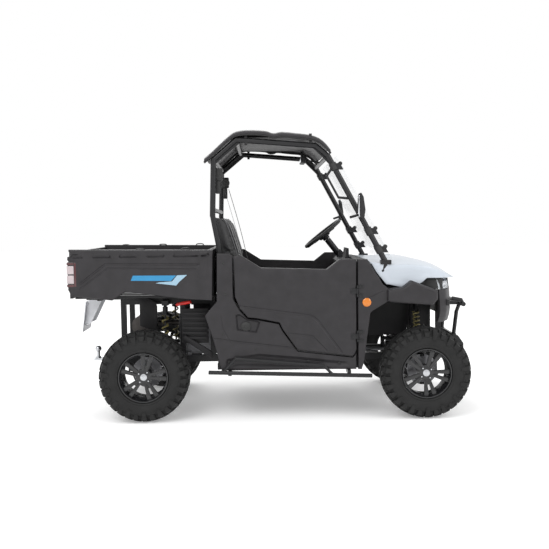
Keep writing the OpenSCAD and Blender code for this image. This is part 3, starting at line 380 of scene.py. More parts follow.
def beside(line, gap, closed=False):
    """The polyline moved sideways by gap, with mitred corners."""
    out = []
    count = len(line)
    for i in range(count):
        here = Vector(line[i])
        back = (here - Vector(line[i - 1])).normalized() if closed or i > 0 else None
        on = (Vector(line[(i + 1) % count]) - here).normalized() if closed or i < count - 1 else None
        back = back or on
        on = on or back
        normal = Vector((-(back + on)[1], (back + on)[0])).normalized()
        scale = max(0.45, normal.dot(Vector((-on[1], on[0]))))
        out.append(tuple(here + normal * gap / scale))
    return out


def panel(outline, y_out, y_in, grooves=(), raised=(), edge=0.007, step=0.016, crown=0.0):
    """Moulded panel facing +Y: rounded edge, sunk grooves (line, half width, depth), and raised or
    sunk fields (outline, height, slope width). Comes as points and faces."""
    area = sum(a[0] * b[1] - b[0] * a[1] for a, b in zip(outline, outline[1:] + outline[:1]))
    if area < 0:
        outline = outline[::-1]
    points, edges = [], []

    def line_in(line, closed):
        start = len(points)
        points.extend(line)
        count = len(line)
        edges.extend((start + i, start + (i + 1) % count) for i in range(count if closed else count - 1))

    line_in(dense(outline, step, True), True)
    for share in (0.3, 1.0):
        line_in(dense(beside(outline, edge * share, True), step, True), True)
    for line, half_w, _ in grooves:
        for share in (-1, -0.5, 0.5, 1):
            line_in(dense(beside(line, half_w * share), step), False)
    for field, _, slope in raised:
        for gap in (0, slope):
            line_in(dense(beside(field, gap, True), step, True), True)
    corners = np.array(outline)
    low, high = corners.min(0), corners.max(0)
    grid = np.array([(x, z) for x in np.arange(low[0] + step / 2, high[0], step)
                     for z in np.arange(low[1] + step / 2, high[1], step)])
    keep = inside(grid, outline) & (point_to_line(grid, outline, True) > edge + step * 0.4)
    for line, half_w, _ in grooves:
        keep &= point_to_line(grid, line) > half_w + step * 0.3
    for field, _, slope in raised:
        keep &= point_to_line(grid, beside(field, slope / 2, True), True) > slope / 2 + step * 0.3
    points += [tuple(p) for p in grid[keep]]
    flat, _, faces, _, _, _ = delaunay_2d_cdt([Vector(p) for p in points], edges, [], 1, 1e-5)
    flat = np.array([tuple(p) for p in flat])
    away = point_to_line(flat, outline, True)
    middle_of = [face for face in faces if inside(flat[list(face)].mean(0)[None], outline)[0]]
    y = np.full(len(flat), y_out)
    if crown:
        y = y - crown * np.clip(1 - away / 0.16, 0, 1) ** 2
    for field, height, slope in raised:
        depth_in = np.where(inside(flat, field), point_to_line(flat, field, True), 0)
        y = y + height * np.clip(depth_in / slope, 0, 1)
    for line, half_w, depth in grooves:
        near = np.clip(1 - point_to_line(flat, line) / half_w, 0, 1)
        y = y - depth * near ** 0.5 * (near > 0)
    rounding = np.clip(edge - away, 0, edge)
    y = y - (edge - np.sqrt(np.maximum(edge ** 2 - rounding ** 2, 0)))
    verts = [(p[0], h, p[1]) for p, h in zip(flat, y)]
    count = {}
    for face in middle_of:
        for a, b in zip(face, face[1:] + face[:1]):
            count[(a, b)] = count.get((a, b), 0) + 1
    rim = [(a, b) for a, b in count if (b, a) not in count]
    back = {}
    for pair in rim:
        for i in pair:
            if i not in back:
                back[i] = len(verts)
                verts.append((flat[i][0], y_in, flat[i][1]))
    out = [tuple(face) for face in middle_of]
    out += [(b, a, back[a], back[b]) for a, b in rim]
    chain = {back[a]: back[b] for a, b in rim}
    while chain:
        start, here = next(iter(chain.items()))
        loop = [start]
        while here != start and here in chain:
            loop.append(here)
            here = chain[here]
        for i in loop:
            chain.pop(i, None)
        if len(loop) > 2:
            out.append(tuple(reversed(loop)))
    return verts, out


def both_sides(name, part, material, body, slot, node=None, sharp=35):
    """The same moulded part on both sides; body and node may hold {side}."""
    pieces = []
    for side_name, side in SIDES:
        replaced = [node.format(side=side_name)] if node else []
        pieces.append(add(f"{name}_{side_name}", *on_side(part, side), material,
                          body.format(side=side_name), slot, replaced, sharp))
    return pieces


# ---------------------------------------------------------------- tyres and rims
def lug(angle, y_from, y_to, half_a, r_in, r_out, skew=0.0, drop=0.0):
    """One tread block round the Y axis; drop lowers its outer edge, skew turns it."""
    verts = []
    for r, taper in ((r_in, 1.0), (r_out, 0.80)):
        for y, sign_y in ((y_from, 0), (y_to, 1)):
            for sign_a in (-1, 1):
                a = angle + sign_a * half_a * taper + skew * (sign_y - 0.5)
                mid = (y_from + y_to) / 2
                height = r - (drop * sign_y if r == r_out else drop * 0.6 * sign_y)
                verts.append((height * math.cos(a), mid + (y - mid) * (0.55 + 0.45 * taper),
                              height * math.sin(a)))
    faces = [(0, 1, 3, 2), (4, 6, 7, 5), (0, 4, 5, 1), (2, 3, 7, 6), (0, 2, 6, 4), (1, 5, 7, 3)]
    return verts, faces


def tyre_shape(width, radius, rim_r, pitches):
    """Off-road tyre: round carcass, centre blocks, and shoulder lugs that wrap on to the sidewall."""
    half = width / 2
    base_r = radius - 0.017
    side = [(rim_r + 0.001, half - 0.030), (rim_r + 0.006, half - 0.012), (rim_r + 0.016, half - 0.008),
            (rim_r + 0.021, half - 0.011), (rim_r + 0.036, half - 0.007), (rim_r + 0.060, half - 0.003),
            (rim_r + 0.080, half - 0.004), (rim_r + 0.083, half - 0.001), (rim_r + 0.087, half - 0.001),
            (rim_r + 0.090, half - 0.006), (base_r - 0.030, half - 0.012), (base_r - 0.012, half - 0.026),
            (base_r - 0.003, half - 0.046), (base_r, half * 0.35)]
    profile = side + [(r, -y) for r, y in reversed(side)]
    parts = [lathe(profile, 120)]
    pitch = 2 * math.pi / pitches
    for i in range(pitches):
        a = i * pitch
        for sign in (-1, 1):
            shift = a + (0.5 * pitch if sign > 0 else 0)
            parts.append(lug(shift, sign * 0.004, sign * half * 0.34, pitch * 0.30, base_r - 0.006, radius,
                             skew=sign * pitch * 0.35))
            parts.append(lug(shift + pitch * 0.5, sign * half * 0.30, sign * half * 0.66, pitch * 0.27,
                             base_r - 0.008, radius - 0.001, skew=-sign * pitch * 0.25, drop=0.003))
            long_lug = i % 2 == 0
            parts.append(lug(shift + pitch * 0.05, sign * half * 0.62, sign * (half - 0.011), pitch * 0.30,
                             base_r - 0.030, radius - 0.004, drop=0.022 if long_lug else 0.030))
            # Part of the lug that runs down the sidewall
            verts = []
            reach = 0.062 if long_lug else 0.042
            for r, y, half_a in ((base_r - reach, half - 0.004, 0.22), (base_r - 0.010, half - 0.004, 0.31),
                                 (base_r - 0.002, half - 0.034, 0.31), (base_r - reach, half - 0.030, 0.22)):
                for sign_a in (-1, 1):
                    angle = shift + pitch * 0.05 + sign_a * half_a * pitch
                    verts.append((r * math.cos(angle), sign * (y + 0.006), r * math.sin(angle)))
            parts.append((verts, [(0, 1, 3, 2), (2, 3, 5, 4), (4, 5, 7, 6), (6, 7, 1, 0), (0, 2, 4, 6),
                                  (1, 7, 5, 3)]))
    return join(*parts)


def rim_shape(width, rim_r, first_angle):
    """Rim facing +Y with five twin spokes; returns the painted part and the bright part."""
    half = width / 2 - 0.014
    face_y = half - 0.040
    lip = [(rim_r - 0.001, half), (rim_r - 0.008, half), (rim_r - 0.011, half - 0.006),
           (rim_r - 0.013, half - 0.022),
           (rim_r - 0.022, half - 0.050), (rim_r - 0.013, 0.0), (rim_r - 0.012,
                   -half + 0.012), (rim_r - 0.008, -half),
           (rim_r - 0.001, -half)]
    parts = [lathe(lip, 96)]
    spoke = [(0.040, 0.004), (0.060, 0.003), (0.120, 0.016), (rim_r - 0.014, 0.020), (rim_r - 0.014, 0.036),
             (0.125, 0.034), (0.065, 0.022), (0.040, 0.021)]
    for i in range(5):
        turn = Matrix.Rotation(first_angle + i * 2 * math.pi / 5, 3, "Y")
        for sign in (-1, 1):
            shape = bmesh.new()
            rings = []
            for edge_y in (-1, 1):
                ring = []
                for r, y in spoke:
                    across = sign * (0.0105 + 0.165 * (r - 0.040)) + edge_y * (0.0095 + 0.060 * (r - 0.04))
                    ring.append(shape.verts.new((r, face_y + y - 0.016, across)))
                rings.append(ring)
            shape.faces.new(rings[0])
            shape.faces.new(reversed(rings[1]))
            for k in range(len(spoke)):
                nxt = (k + 1) % len(spoke)
                shape.faces.new((rings[0][nxt], rings[0][k], rings[1][k], rings[1][nxt]))
            parts.append(moved(rounded(shape, 0.0028, 2), turn=turn))
        # Web that fills the root between the twin spokes
        web = rounded_slab([(0.036, -0.012), (0.082, -0.010), (0.090, 0.0), (0.082, 0.010), (0.036, 0.012)],
                           face_y - 0.016, face_y - 0.002, 0.002, 1)
        parts.append(moved(web, turn=turn))
    hub = [(0.001, face_y + 0.006), (0.044, face_y + 0.006), (0.056, face_y + 0.001), (0.060, face_y - 0.018),
           (0.001, face_y - 0.018)]
    parts.append(lathe(hub, 48))
    bright = [lathe([(0.001, face_y + 0.014), (0.016, face_y + 0.0135), (0.024, face_y + 0.011),
                     (0.026, face_y + 0.004), (0.001, face_y + 0.002)], 40)]
    for i in range(4):
        angle = first_angle + math.pi / 4 + i * math.pi / 2
        at = (0.0425 * math.cos(angle), face_y + 0.009, -0.0425 * math.sin(angle))
        bright.append(disc(at, 0.0065, 0.008, chamfer=0.0015, steps=6))
    return join(*parts), join(*bright)


def brake_shape(hub_in_y, out_y):
    """Drilled-look brake disc with its hat and stub, on the inside of the rim."""
    at = hub_in_y + 0.014
    parts = [lathe([(0.060, at - 0.0025), (0.110, at - 0.0025), (0.110, at + 0.0025),
                    (0.060, at + 0.0025)], 64),
             lathe([(0.022, hub_in_y + 0.001), (0.040, hub_in_y + 0.001), (0.040, at), (0.062, at + 0.003),
                    (0.062, at + 0.007), (0.038, at + 0.010), (0.038, out_y), (0.022, out_y)], 48)]
    for i in range(12):
        angle = i * math.pi / 6
        parts.append(disc((0.085 * math.cos(angle), at, 0.085 * math.sin(angle)), 0.006, 0.0034,
                          chamfer=0.001, steps=12))
    return join(*parts)


for end, first in (("front", math.radians(8)), ("rear", math.radians(-7))):
    tyre_low, tyre_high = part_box(f"{end}_tyre_left")
    rim_low, rim_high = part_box(f"{end}_rim_left")
    width = tyre_high[1] - tyre_low[1]
    radius = (tyre_high[2] - tyre_low[2]) / 2
    rim_r = (rim_high[2] - rim_low[2]) / 2
    centre = middle(f"{end}_tyre_left")
    centre[2] = middle(f"{end}_rim_left")[2]
    hub_in_y = rim_low[1] - centre[1]
    tread = tyre_shape(width, radius - 0.0005, rim_r, 30)
    painted, bright = rim_shape(width, rim_r, first)
    brake = brake_shape(hub_in_y, width / 2 - 0.070)
    for side_name, side in SIDES:
        body = f"{end}_wheel_{side_name}"
        place = (centre[0], side * centre[1], centre[2])
        add(f"{end}_tyre_tread_{side_name}", *moved(on_side(tread, side), place), tyre_rubber, body,
            "tyre_rubber", [f"{end}_tyre_{side_name}"], sharp=28)
        add(f"{end}_rim_spokes_{side_name}", *moved(on_side(painted, side), place), rim_paint, body,
            "rim_black", [f"{end}_rim_{side_name}"])
        add(f"{end}_rim_cap_{side_name}", *moved(on_side(bright, side), place), bright_metal, body,
            "plate_metal")
        add(f"{end}_brake_disc_{side_name}", *moved(on_side(brake, side), place), disc_steel, body,
            "cast_metal")


# ---------------------------------------------------------------- outer panels
door_outline = along(cab_x, (123, 1168), (148, 1176), (169, 1175), (314, 1083), (778, 1066), (870, 1138),
    (985, 1137), (984, 494), (970, 461), (956, 448), (567, 497), (463, 644), (441, 694),
    (288, 725), (218, 733), (163, 797), (129, 880))
style_line = along(cab_x, (155, 812), (655, 741), (683, 728), (711, 703), (875, 478))
style_second = along(cab_x, (509, 616), (674, 594), (772, 489))
door = panel(door_outline, door_out_y, door_out_y - 0.060, edge=0.009, crown=0.003,
             grooves=[(style_line, 0.011, 0.006), (style_second, 0.008, 0.005)],
             raised=[(along(cab_x, (201, 772), (646, 712), (679, 660), (641, 640), (511, 655), (479, 690),
                            (301, 750)), -0.006, 0.016),
                     (along(cab_x, (541, 596), (661, 578), (741, 488), (587, 507)), -0.005, 0.014)])
both_sides("door_skin", door, body_plastic, "door_{side}", "body_plastic", "door_{side}")
for side_name, side in SIDES:
    hinge_parts = []
    for z in hinge_heights:
        barrel = (hinge_x, door_out_y + 0.002, z)
        hinge_parts.append(disc(barrel, 0.0068, 0.0195, "Z"))
        hinge_parts.append(slab((barrel[0] - 0.046, door_out_y - 0.002, z - 0.018),
                                (barrel[0] - 0.003, door_out_y + 0.004, z + 0.018), 0.0015))
        for dx in (-0.036, -0.018):
            hinge_parts.append(disc((barrel[0] + dx, door_out_y + 0.0045, z), 0.005, 0.0015,
                                    chamfer=0.0008, steps=6))
    hinge_parts.append(pipe([(cab_x + 0.245, door_out_y - 0.062, 1.010),
                             (cab_x + 0.250, door_out_y - 0.078, 1.010),
                             (cab_x + 0.375, door_out_y - 0.078, 1.010), (cab_x + 0.380,
                                     door_out_y - 0.062, 1.010)],
                            0.007))
    add(f"door_hinge_leaves_{side_name}", *on_side(join(*hinge_parts), side), frame_paint,
        f"door_{side_name}",
        "frame_black")

sill_outline = along(cab_x, (6, 1188), (0, 847), (-35, 809), (-85, 749), (-31, 585), (28, 356), (723, 357),
    (983, 354), (983, 484), (971, 452), (955, 438), (567, 486), (461, 633), (436, 683),
    (288, 714), (217, 722), (158, 786), (115, 868), (115, 1168), (95, 1188))
cap_pocket = along(cab_x, (129, 752), (139, 640), (279, 622), (307, 700), (281, 712), (219, 720), (159, 760))
side_panel = panel(sill_outline, panel_out_y, panel_out_y - 0.055, edge=0.007,
                   grooves=[(along(cab_x, (-27, 586), (131, 562), (555, 508)), 0.008, 0.005),
                            (along(cab_x, (26, 740), (41, 650), (91, 560)), 0.005, 0.003)],
                   raised=[(cap_pocket, -0.016, 0.012),
                           (along(cab_x, (51, 440), (61, 385), (691, 378), (951, 380), (931, 408),
                                  (571, 450), (291, 476)), -0.012, 0.020),
                           (along(cab_x, (13, 1172), (13, 1150), (109, 1148), (107, 1160), (91, 1176)),
                            0.0, 0.006)])
both_sides("side_panel_skin", side_panel, body_plastic, "chassis", "body_plastic", sharp=30)
foot = slab((cab_x + 0.060, 0.6365, 0.357), (front_x - 0.530, panel_out_y - 0.054, 0.388))
both_sides("side_panel_foot", foot, lower_plastic, "chassis", "body_plastic")
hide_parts("side_panels")

# Fuel cap, recessed bolts, and small fasteners along the panels
for side_name, side in SIDES:
    cap_at = (rear_x + 0.726, panel_out_y - 0.012, 0.668)
    cap = [lathe([(0.001, 0.010), (0.026, 0.009), (0.033, 0.004), (0.034, -0.006), (0.001, -0.006)], 36)]
    for i in range(10):
        angle = i * math.pi / 5
        cap.append(disc((0.033 * math.cos(angle), 0.0, 0.033 * math.sin(angle)), 0.004, 0.005,
                        chamfer=0.001, steps=8))
    cap.append(slab((-0.026, 0.006, -0.006), (0.026, 0.015, 0.006), 0.002))
    if side < 0:
        add("fuel_cap", *moved(on_side(join(*cap), side), (cap_at[0], side * cap_at[1], cap_at[2])),
            grip_rubber,
            "chassis", "grip_rubber")
    bolts = []
    for x, z in along(cab_x, (271, 508), (51, 1120), (61, 900), (39, 620), (81, 420), (371, 424), (641, 418),
    (861, 402)):
        bolts.append(disc((x, panel_out_y - 0.001, z), 0.009, 0.003, chamfer=0.001, steps=20))
        bolts.append(disc((x, panel_out_y + 0.002, z), 0.005, 0.002, chamfer=0.001, steps=6))
    add(f"panel_bolts_{side_name}", *on_side(join(*bolts), side), grip_rubber, "chassis", "grip_rubber")

# ---------------------------------------------------------------- front fenders and nose
fender_outline = along(front_x, (-462, 1134), (-412, 1133), (-392, 1102), (-304, 955), (-262, 922),
                       (-262, 836),
    (-379, 766), (-393, 751), (-422, 537), (-430, 466), (-445, 387), (-456, 353),
    (-480, 353), (-480, 1134))
fender = panel(fender_outline, panel_out_y, 0.663, edge=0.006,
               grooves=[(along(front_x, (-300, 905), (-440, 842), (-470, 838)), 0.006, 0.004)])
flare_outline = along(front_x, (-272, 915), (-162, 931), (-98, 979), (83, 907), (83, 845), (47, 803),
                      (-100, 815),
    (-244, 828), (-272, 838))
flare = panel(flare_outline, 0.745, 0.690, edge=0.016, step=0.018, crown=0.010,
              raised=[(along(front_x, (-220, 900), (-150, 912), (-95, 944), (62, 886), (62, 862),
                             (-100, 862), (-220, 852)), -0.005, 0.018)])
flare_top = rounded_slab(along(front_x, (-258, 924), (-162, 930), (-98, 977), (83, 907), (80, 885),
                               (-98, 950), (-162, 905),
    (-258, 899)), 0.612, 0.700, 0.003)
arch = along(front_x, (60, 838), (-200, 826), (-258, 834), (-379, 765), (-394, 751), (-423, 537), (-431, 466),
    (-446, 387))
liner = rounded_slab(arch + [(x - 0.007, z + 0.007) for x, z in reversed(arch)], 0.402, 0.664, 0.0015, 1)
hinge_leaf = join(*[slab((front_x - 0.482, panel_out_y - 0.004, z + s * 0.031 - 0.010),
                         (front_x - 0.444, panel_out_y + 0.008, z + s * 0.031 + 0.010), 0.0015)
                    for z in hinge_heights for s in (-1, 1)],
                  *[disc((hinge_x, door_out_y + 0.002, z + s * 0.031), 0.0068, 0.010, "Z")
                    for z in hinge_heights for s in (-1, 1)],
                  *[disc((hinge_x, door_out_y + 0.002, z), 0.0035, 0.034, "Z") for z in hinge_heights])
both_sides("fender_skin", join(fender, flare, flare_top), body_plastic, "chassis", "body_plastic", sharp=30)
both_sides("wheel_arch_liner", liner, lower_plastic, "chassis", "body_plastic")
splash = rounded_slab(along(front_x, (-400, 880), (-400, 640), (-330, 520), (-60, 520), (-60, 600),
                            (130, 600), (150, 880)), 0.150, 0.156, 0.002)
both_sides("splash_plate", splash, lower_plastic, "chassis", "body_plastic")
both_sides("door_hinge_brackets", hinge_leaf, frame_paint, "chassis", "frame_black")
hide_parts("front_fenders")
marker = lathe([(0.001, 0.011), (0.022, 0.0095), (0.030, 0.005), (0.032, -0.003), (0.001, -0.003)], 40)
both_sides("side_marker", moved(marker, (front_x - 0.418, panel_out_y, 0.829)), lamp_amber, "chassis",
           "lamp_clear")


def nose_at(z, shrink=0.0):
    """Half outline of the nose in plan at a height, from the middle out to the side."""
    lean = 0.012 * max(0.0, (z - 0.78) / 0.2)
    return [(front_x + (x - shrink) * MM - lean, (y - (shrink if y > 450 else 0)) * MM)
            for x, y in ((282, 0), (279, 120), (272, 230), (258, 330), (234, 415), (206, 490), (176, 556),
                         (127, 588))]


def skin(rows, thick, material, name, replaces=(), levels=1):
    """Sheet through rows of points, given thickness and smoothed."""
    width = len(rows[0])
    verts = [point for row in rows for point in row]
    faces = [(r * width + c, r * width + c + 1, (r + 1) * width + c + 1, (r + 1) * width + c)
             for r in range(len(rows) - 1) for c in range(width - 1)]
    mesh = bpy.data.meshes.new(name)
    mesh.from_pydata([tuple(v) for v in verts], [], faces)
    raw = bpy.data.objects.new(name + "_raw", mesh)
    scene.collection.objects.link(raw)
    if levels:
        smooth = raw.modifiers.new("smooth", "SUBSURF")
        smooth.levels = levels
        smooth.boundary_smooth = "PRESERVE_CORNERS"
    wall = raw.modifiers.new("wall", "SOLIDIFY")
    wall.thickness = thick
    wall.offset = -1
    done = bpy.data.meshes.new_from_object(raw.evaluated_get(bpy.context.evaluated_depsgraph_get()))
    bpy.data.objects.remove(raw)
    return settle(name, done, material, "chassis", replaces)


# Fascia: rows of the nose at several heights, with the two grille openings left out
fascia_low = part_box("front_fascia")[0][2]
fascia_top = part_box("front_fascia")[1][2]
bands = [(fascia_low, 16), (0.700, 5), (0.742, 0), (0.790, 0), (0.832, 0), (0.872, 0), (fascia_top, 0)]
for k, ((z_low, in_low), (z_high, in_high)) in enumerate(zip(bands[:-1], bands[1:])):
    low_row, high_row = nose_at(z_low, in_low), nose_at(z_high, in_high)
    opening = k in (2, 4)
    for side_name, side in SIDES:
        start = 3 if opening else 0
        strip = []
        for x_y, x_y_top in zip(low_row[start:], high_row[start:]):
            strip.append([(x_y[0], side * x_y[1], z_low), (x_y_top[0], side * x_y_top[1], z_high)])
        if side > 0:
            strip = strip[::-1]
        skin(strip, 0.022, body_plastic, f"fascia_band_{k}_{side_name}", levels=0)
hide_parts("front_fascia")
cheek = slab((front_x + 0.182, 0.2255, 0.782), (front_x + 0.204, 0.548, 0.824), 0.003)
both_sides("fascia_bracket", cheek, frame_paint, "chassis", "frame_black")
# Mesh behind the grille openings
grille = []
for z in np.arange(0.746, 0.872, 0.014):
    grille.append(pipe([(front_x + 0.222, -0.36, z), (front_x + 0.252, -0.18, z), (front_x + 0.258, 0.0, z),
                        (front_x + 0.252, 0.18, z), (front_x + 0.222, 0.36, z)], 0.0022, smooth=2, sides=6))
for y in np.arange(-0.34, 0.345, 0.02):
    x = front_x + 0.258 - 0.036 * (abs(y) / 0.36) ** 2
    grille.append(pipe([(x - 0.003, y, 0.740), (x - 0.003, y, 0.876)], 0.0020, smooth=0, sides=6))
add("grille_mesh", *join(*grille), frame_paint, "chassis", "frame_black")

# Headlights: dark bowl, two lamps and a clear cover that follows the nose
lamp_low, lamp_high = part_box("headlights")
for side_name, side in SIDES:
    rows = []
    for z, pull in ((lamp_low[2] + 0.002, 3), (lamp_low[2] + 0.040, 3), (lamp_high[2] - 0.002, 14)):
        line = [p for p in nose_at(z, pull) if 0.33 < p[1] < 0.60][:5]
        rows.append([(x, side * min(y, 0.586), z) for x, y in line])
    rows = [row if side > 0 else row[::-1] for row in rows]
    skin(rows, 0.004, lens_clear, f"headlight_cover_{side_name}",
         ["headlights"] if side > 0 else [])
    bowl = slab((front_x - 0.020, side * 0.392 if side > 0 else -0.575, lamp_low[2] + 0.004),
                (front_x + 0.150, 0.575 if side > 0 else -0.392, lamp_high[2] - 0.006), 0.003)
    add(f"headlight_bowl_{side_name}", *bowl, grip_rubber, "chassis", "lamp_clear")
    lamps = []
    for y, x, r in ((0.440, 0.196, 0.030), (0.515, 0.166, 0.026)):
        lamps.append(moved(lathe([(0.001, -0.020), (r * 0.5, -0.018), (r, 0.006), (r + 0.003, 0.006),
                                  (r + 0.003, -0.026), (0.001, -0.026)], 32),
                           (front_x + x, side * y, (lamp_low[2] + lamp_high[2]) / 2),
                           Matrix.Rotation(math.radians(-90), 3, "Z")))
        lamps.append(moved(lathe([(0.001, 0.002), (0.008, -0.001), (0.010, -0.014), (0.001, -0.014)], 20),
                           (front_x + x, side * y, (lamp_low[2] + lamp_high[2]) / 2),
                           Matrix.Rotation(math.radians(-90), 3, "Z")))
    lamps.append(slab((front_x + 0.150, side * 0.40 if side > 0 else -0.56, lamp_low[2] + 0.006),
                      (front_x + 0.172, 0.56 if side > 0 else -0.40, lamp_low[2] + 0.012), 0.002))
    add(f"headlight_lamps_{side_name}", *join(*lamps), bright_metal, "chassis", "lamp_clear")

# Hood: a crowned top, and side cheeks that narrow with the nose
def hood_half(x):
    """Half width of the hood at a station."""
    return float(np.interp(x - front_x, (-0.38, -0.20, 0.0, 0.10, 0.18, 0.235, 0.272),
                           (0.668, 0.652, 0.632, 0.606, 0.560, 0.480, 0.392)))


hood_shoulder = along(front_x, (-386, 1112), (-300, 1098), (-227, 1086), (-149, 1092), (-60, 1086),
                      (40, 1070),
    (120, 1046), (190, 1012), (245, 985))
hood_ridge = along(front_x, (-386, 1123), (-300, 1122), (-227, 1123), (-149, 1135), (-60, 1130), (40, 1110),
    (120, 1081), (190, 1044), (262, 990))
hood_bottom = along(front_x, (-386, 1112), (-345, 1040), (-272, 950), (-244, 946), (-126, 919), (-60, 932),
                    (-8, 960),
    (20, 984), (29, 989), (245, 983))
cheek = panel(hood_shoulder + hood_bottom[::-1][:-1], 0.0, -0.012, edge=0.006, step=0.016,
              raised=[(along(front_x, (-330, 1062), (-258, 975), (-130, 948), (-40, 985), (60, 1008),
                             (60, 1034), (-60, 1052),
    (-220, 1056)), -0.004, 0.014)])
cheek = ([(x, y + hood_half(x), z) for x, y, z in cheek[0]], cheek[1])
both_sides("hood_cheek", cheek, hood_paint, "chassis", "hood_white", sharp=30)
rows = []
for (x, ridge), (_, shoulder) in zip(hood_ridge, hood_shoulder):
    half = hood_half(x)
    fall = ridge - shoulder
    row = [(x, share * half, ridge - drop * fall) for share, drop in
           ((0.0, 0.05), (0.20, 0.07), (0.40, 0.14), (0.46, 0.02), (0.62, 0.10), (0.80, 0.38),
            (0.93, 0.72), (1.0, 1.0))]
    rows.append([(px, -py, pz) for px, py, pz in reversed(row[1:])] + row)
skin(rows, -0.010, hood_paint, "hood_skin", ["hood"])
nose_rows = []
for z, pull in ((0.990, 14), (0.976, 6), (0.905, 3)):
    half = [(x, y) for x, y in nose_at(z, pull) if y < 0.40]
    line = [(x, -y, z) for x, y in reversed(half[1:])] + [(x, y, z) for x, y in half]
    nose_rows.append(line)
skin(nose_rows, -0.010, body_plastic, "hood_front_strip")
cowl = []
for share in np.linspace(-1, 1, 13):
    y = share * 0.60
    bow = 0.020 * (1 - share ** 2)
    cowl.append([(front_x - 0.470, y, 1.108 + bow), (front_x - 0.430, y, 1.122 + bow),
                 (front_x - 0.372, y, 1.110 + bow * 0.5),
                 (front_x - 0.360, y, 1.085)])
skin(cowl, 0.006, cab_plastic, "cowl_strip")


# ---------------------------------------------------------------- cargo bed
bed_low, bed_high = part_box("bed_tub")
wall_in_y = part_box("tailgate")[1][1] + 0.0005
bed_outline = along(rear_x, (-510, 1228), (-510, 1216), (-498, 1192), (-498, 1181), (-519, 1178),
                    (-521, 1157),
    (-512, 1143), (-518, 967), (-519, 946), (-497, 900), (-213, 866), (-118, 927),
    (-50, 918), (321, 867), (490, 857), (500, 1213))
bed_side = panel(bed_outline, bed_out_y, wall_in_y, edge=0.006, step=0.018,
                 grooves=[(along(rear_x, (-432, 988), (-253, 1123), (397, 1110)), 0.009, 0.006),
                          (along(rear_x, (-435, 950), (-240, 1094), (382, 1078)), 0.006, 0.004)],
                 raised=[(along(rear_x, (-490, 1196), (-420, 1195), (-405, 1176), (-350, 1176),
                                (-335, 1195), (-230, 1195),
    (-215, 1176), (-160, 1176), (-145, 1195), (-40, 1195), (-25, 1176), (30, 1176),
    (45, 1195), (150, 1195), (165, 1176), (220, 1176), (235, 1195), (340, 1195), (355, 1178),
    (420, 1178), (480, 1198), (480, 1164), (-500, 1164)), -0.010, 0.006),
                         (along(rear_x, (402, 1200), (402, 1110), (360, 1060), (392, 1006), (455, 1006),
                                (468, 1200)), 0.003, 0.006)])
both_sides("bed_side_skin", bed_side, body_plastic, "cargo_bed", "body_plastic", sharp=28)
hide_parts("bed_tub")
tub = [slab((bed_low[0] + 0.038, -wall_in_y, bed_high[2] - 0.353),
            (bed_high[0], wall_in_y, bed_high[2] - 0.334), 0.003)]
front_wall = slab((bed_high[0] - 0.046, -wall_in_y, 0.895), (bed_high[0], wall_in_y, bed_high[2] - 0.016),
                  0.006)
tub.append(front_wall)
for i in range(10):
    y = -0.580 + i * 0.122
    tub.append(slab((bed_low[0] + 0.060, y, 0.893), (bed_high[0] - 0.060, y + 0.062, 0.8998), 0.003))
for i in range(9):
    y = -0.540 + i * 0.130
    tub.append(slab((bed_high[0] - 0.050, y, 0.930), (bed_high[0] - 0.044, y + 0.060, 1.170), 0.003))
for sign in (-1, 1):
    for i in range(7):
        x = bed_low[0] + 0.110 + i * 0.128
        y = sign * (wall_in_y - 0.004)
        tub.append(slab((x, min(y, sign * wall_in_y), 0.930), (x + 0.06, max(y, sign * wall_in_y), 1.160),
                        0.002))
    tub.append(slab((bed_low[0] + 0.004, min(sign * wall_in_y, sign * (wall_in_y + 0.014)), 0.880),
                    (bed_low[0] + 0.026, max(sign * wall_in_y, sign * (wall_in_y + 0.014)), 0.940), 0.003))
add("bed_floor_and_walls", *join(*tub), lower_plastic, "cargo_bed", "body_plastic")
# Tie-down loops along the top of the bed
rail = []
for sign in (-1, 1):
    y = sign * (bed_out_y - 0.030)
    for i in range(3):
        x = bed_low[0] + 0.190 + i * 0.32
        rail.append(pipe([(x - 0.03, y, 1.212), (x - 0.03, y, 1.2275), (x + 0.03, y, 1.2275),
                          (x + 0.03, y, 1.212)],
                         0.0045, smooth=2, sides=8))
add("tie_down_loops", *join(*rail), frame_paint, "cargo_bed", "frame_black")

gate_low, gate_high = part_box("tailgate")
half_gate = gate_high[1] - 0.008
gate_outline = [(-half_gate, 0.882), (half_gate, 0.882), (half_gate, gate_high[2]),
                (-half_gate, gate_high[2])]
gate = panel(gate_outline, -gate_low[0], -(gate_low[0] + 0.029), edge=0.006, step=0.022,
             grooves=[([(-0.52, 0.945), (0.52, 0.945)], 0.008, 0.005)],
             raised=[([(-0.50, 0.985), (0.50, 0.985), (0.50, 1.060), (-0.50, 1.060)], -0.007, 0.012),
                     ([(-0.11, 1.085), (0.11, 1.085), (0.10, 1.155), (-0.10, 1.155)], -0.012, 0.010)])
turn = Matrix(((0, -1, 0), (1, 0, 0), (0, 0, 1)))
gate = moved(gate, turn=turn)
gate_parts = [gate, disc((bed_low[0] + 0.013, 0.0, 0.890), 0.0098, gate_high[1], "Y")]
gate_parts.append(slab((gate_low[0] + 0.0005, -0.055, 1.108), (gate_low[0] + 0.012, 0.055, 1.132), 0.003))
add("tailgate_skin", *join(*gate_parts), body_plastic, "tailgate", "body_plastic", ["tailgate"])

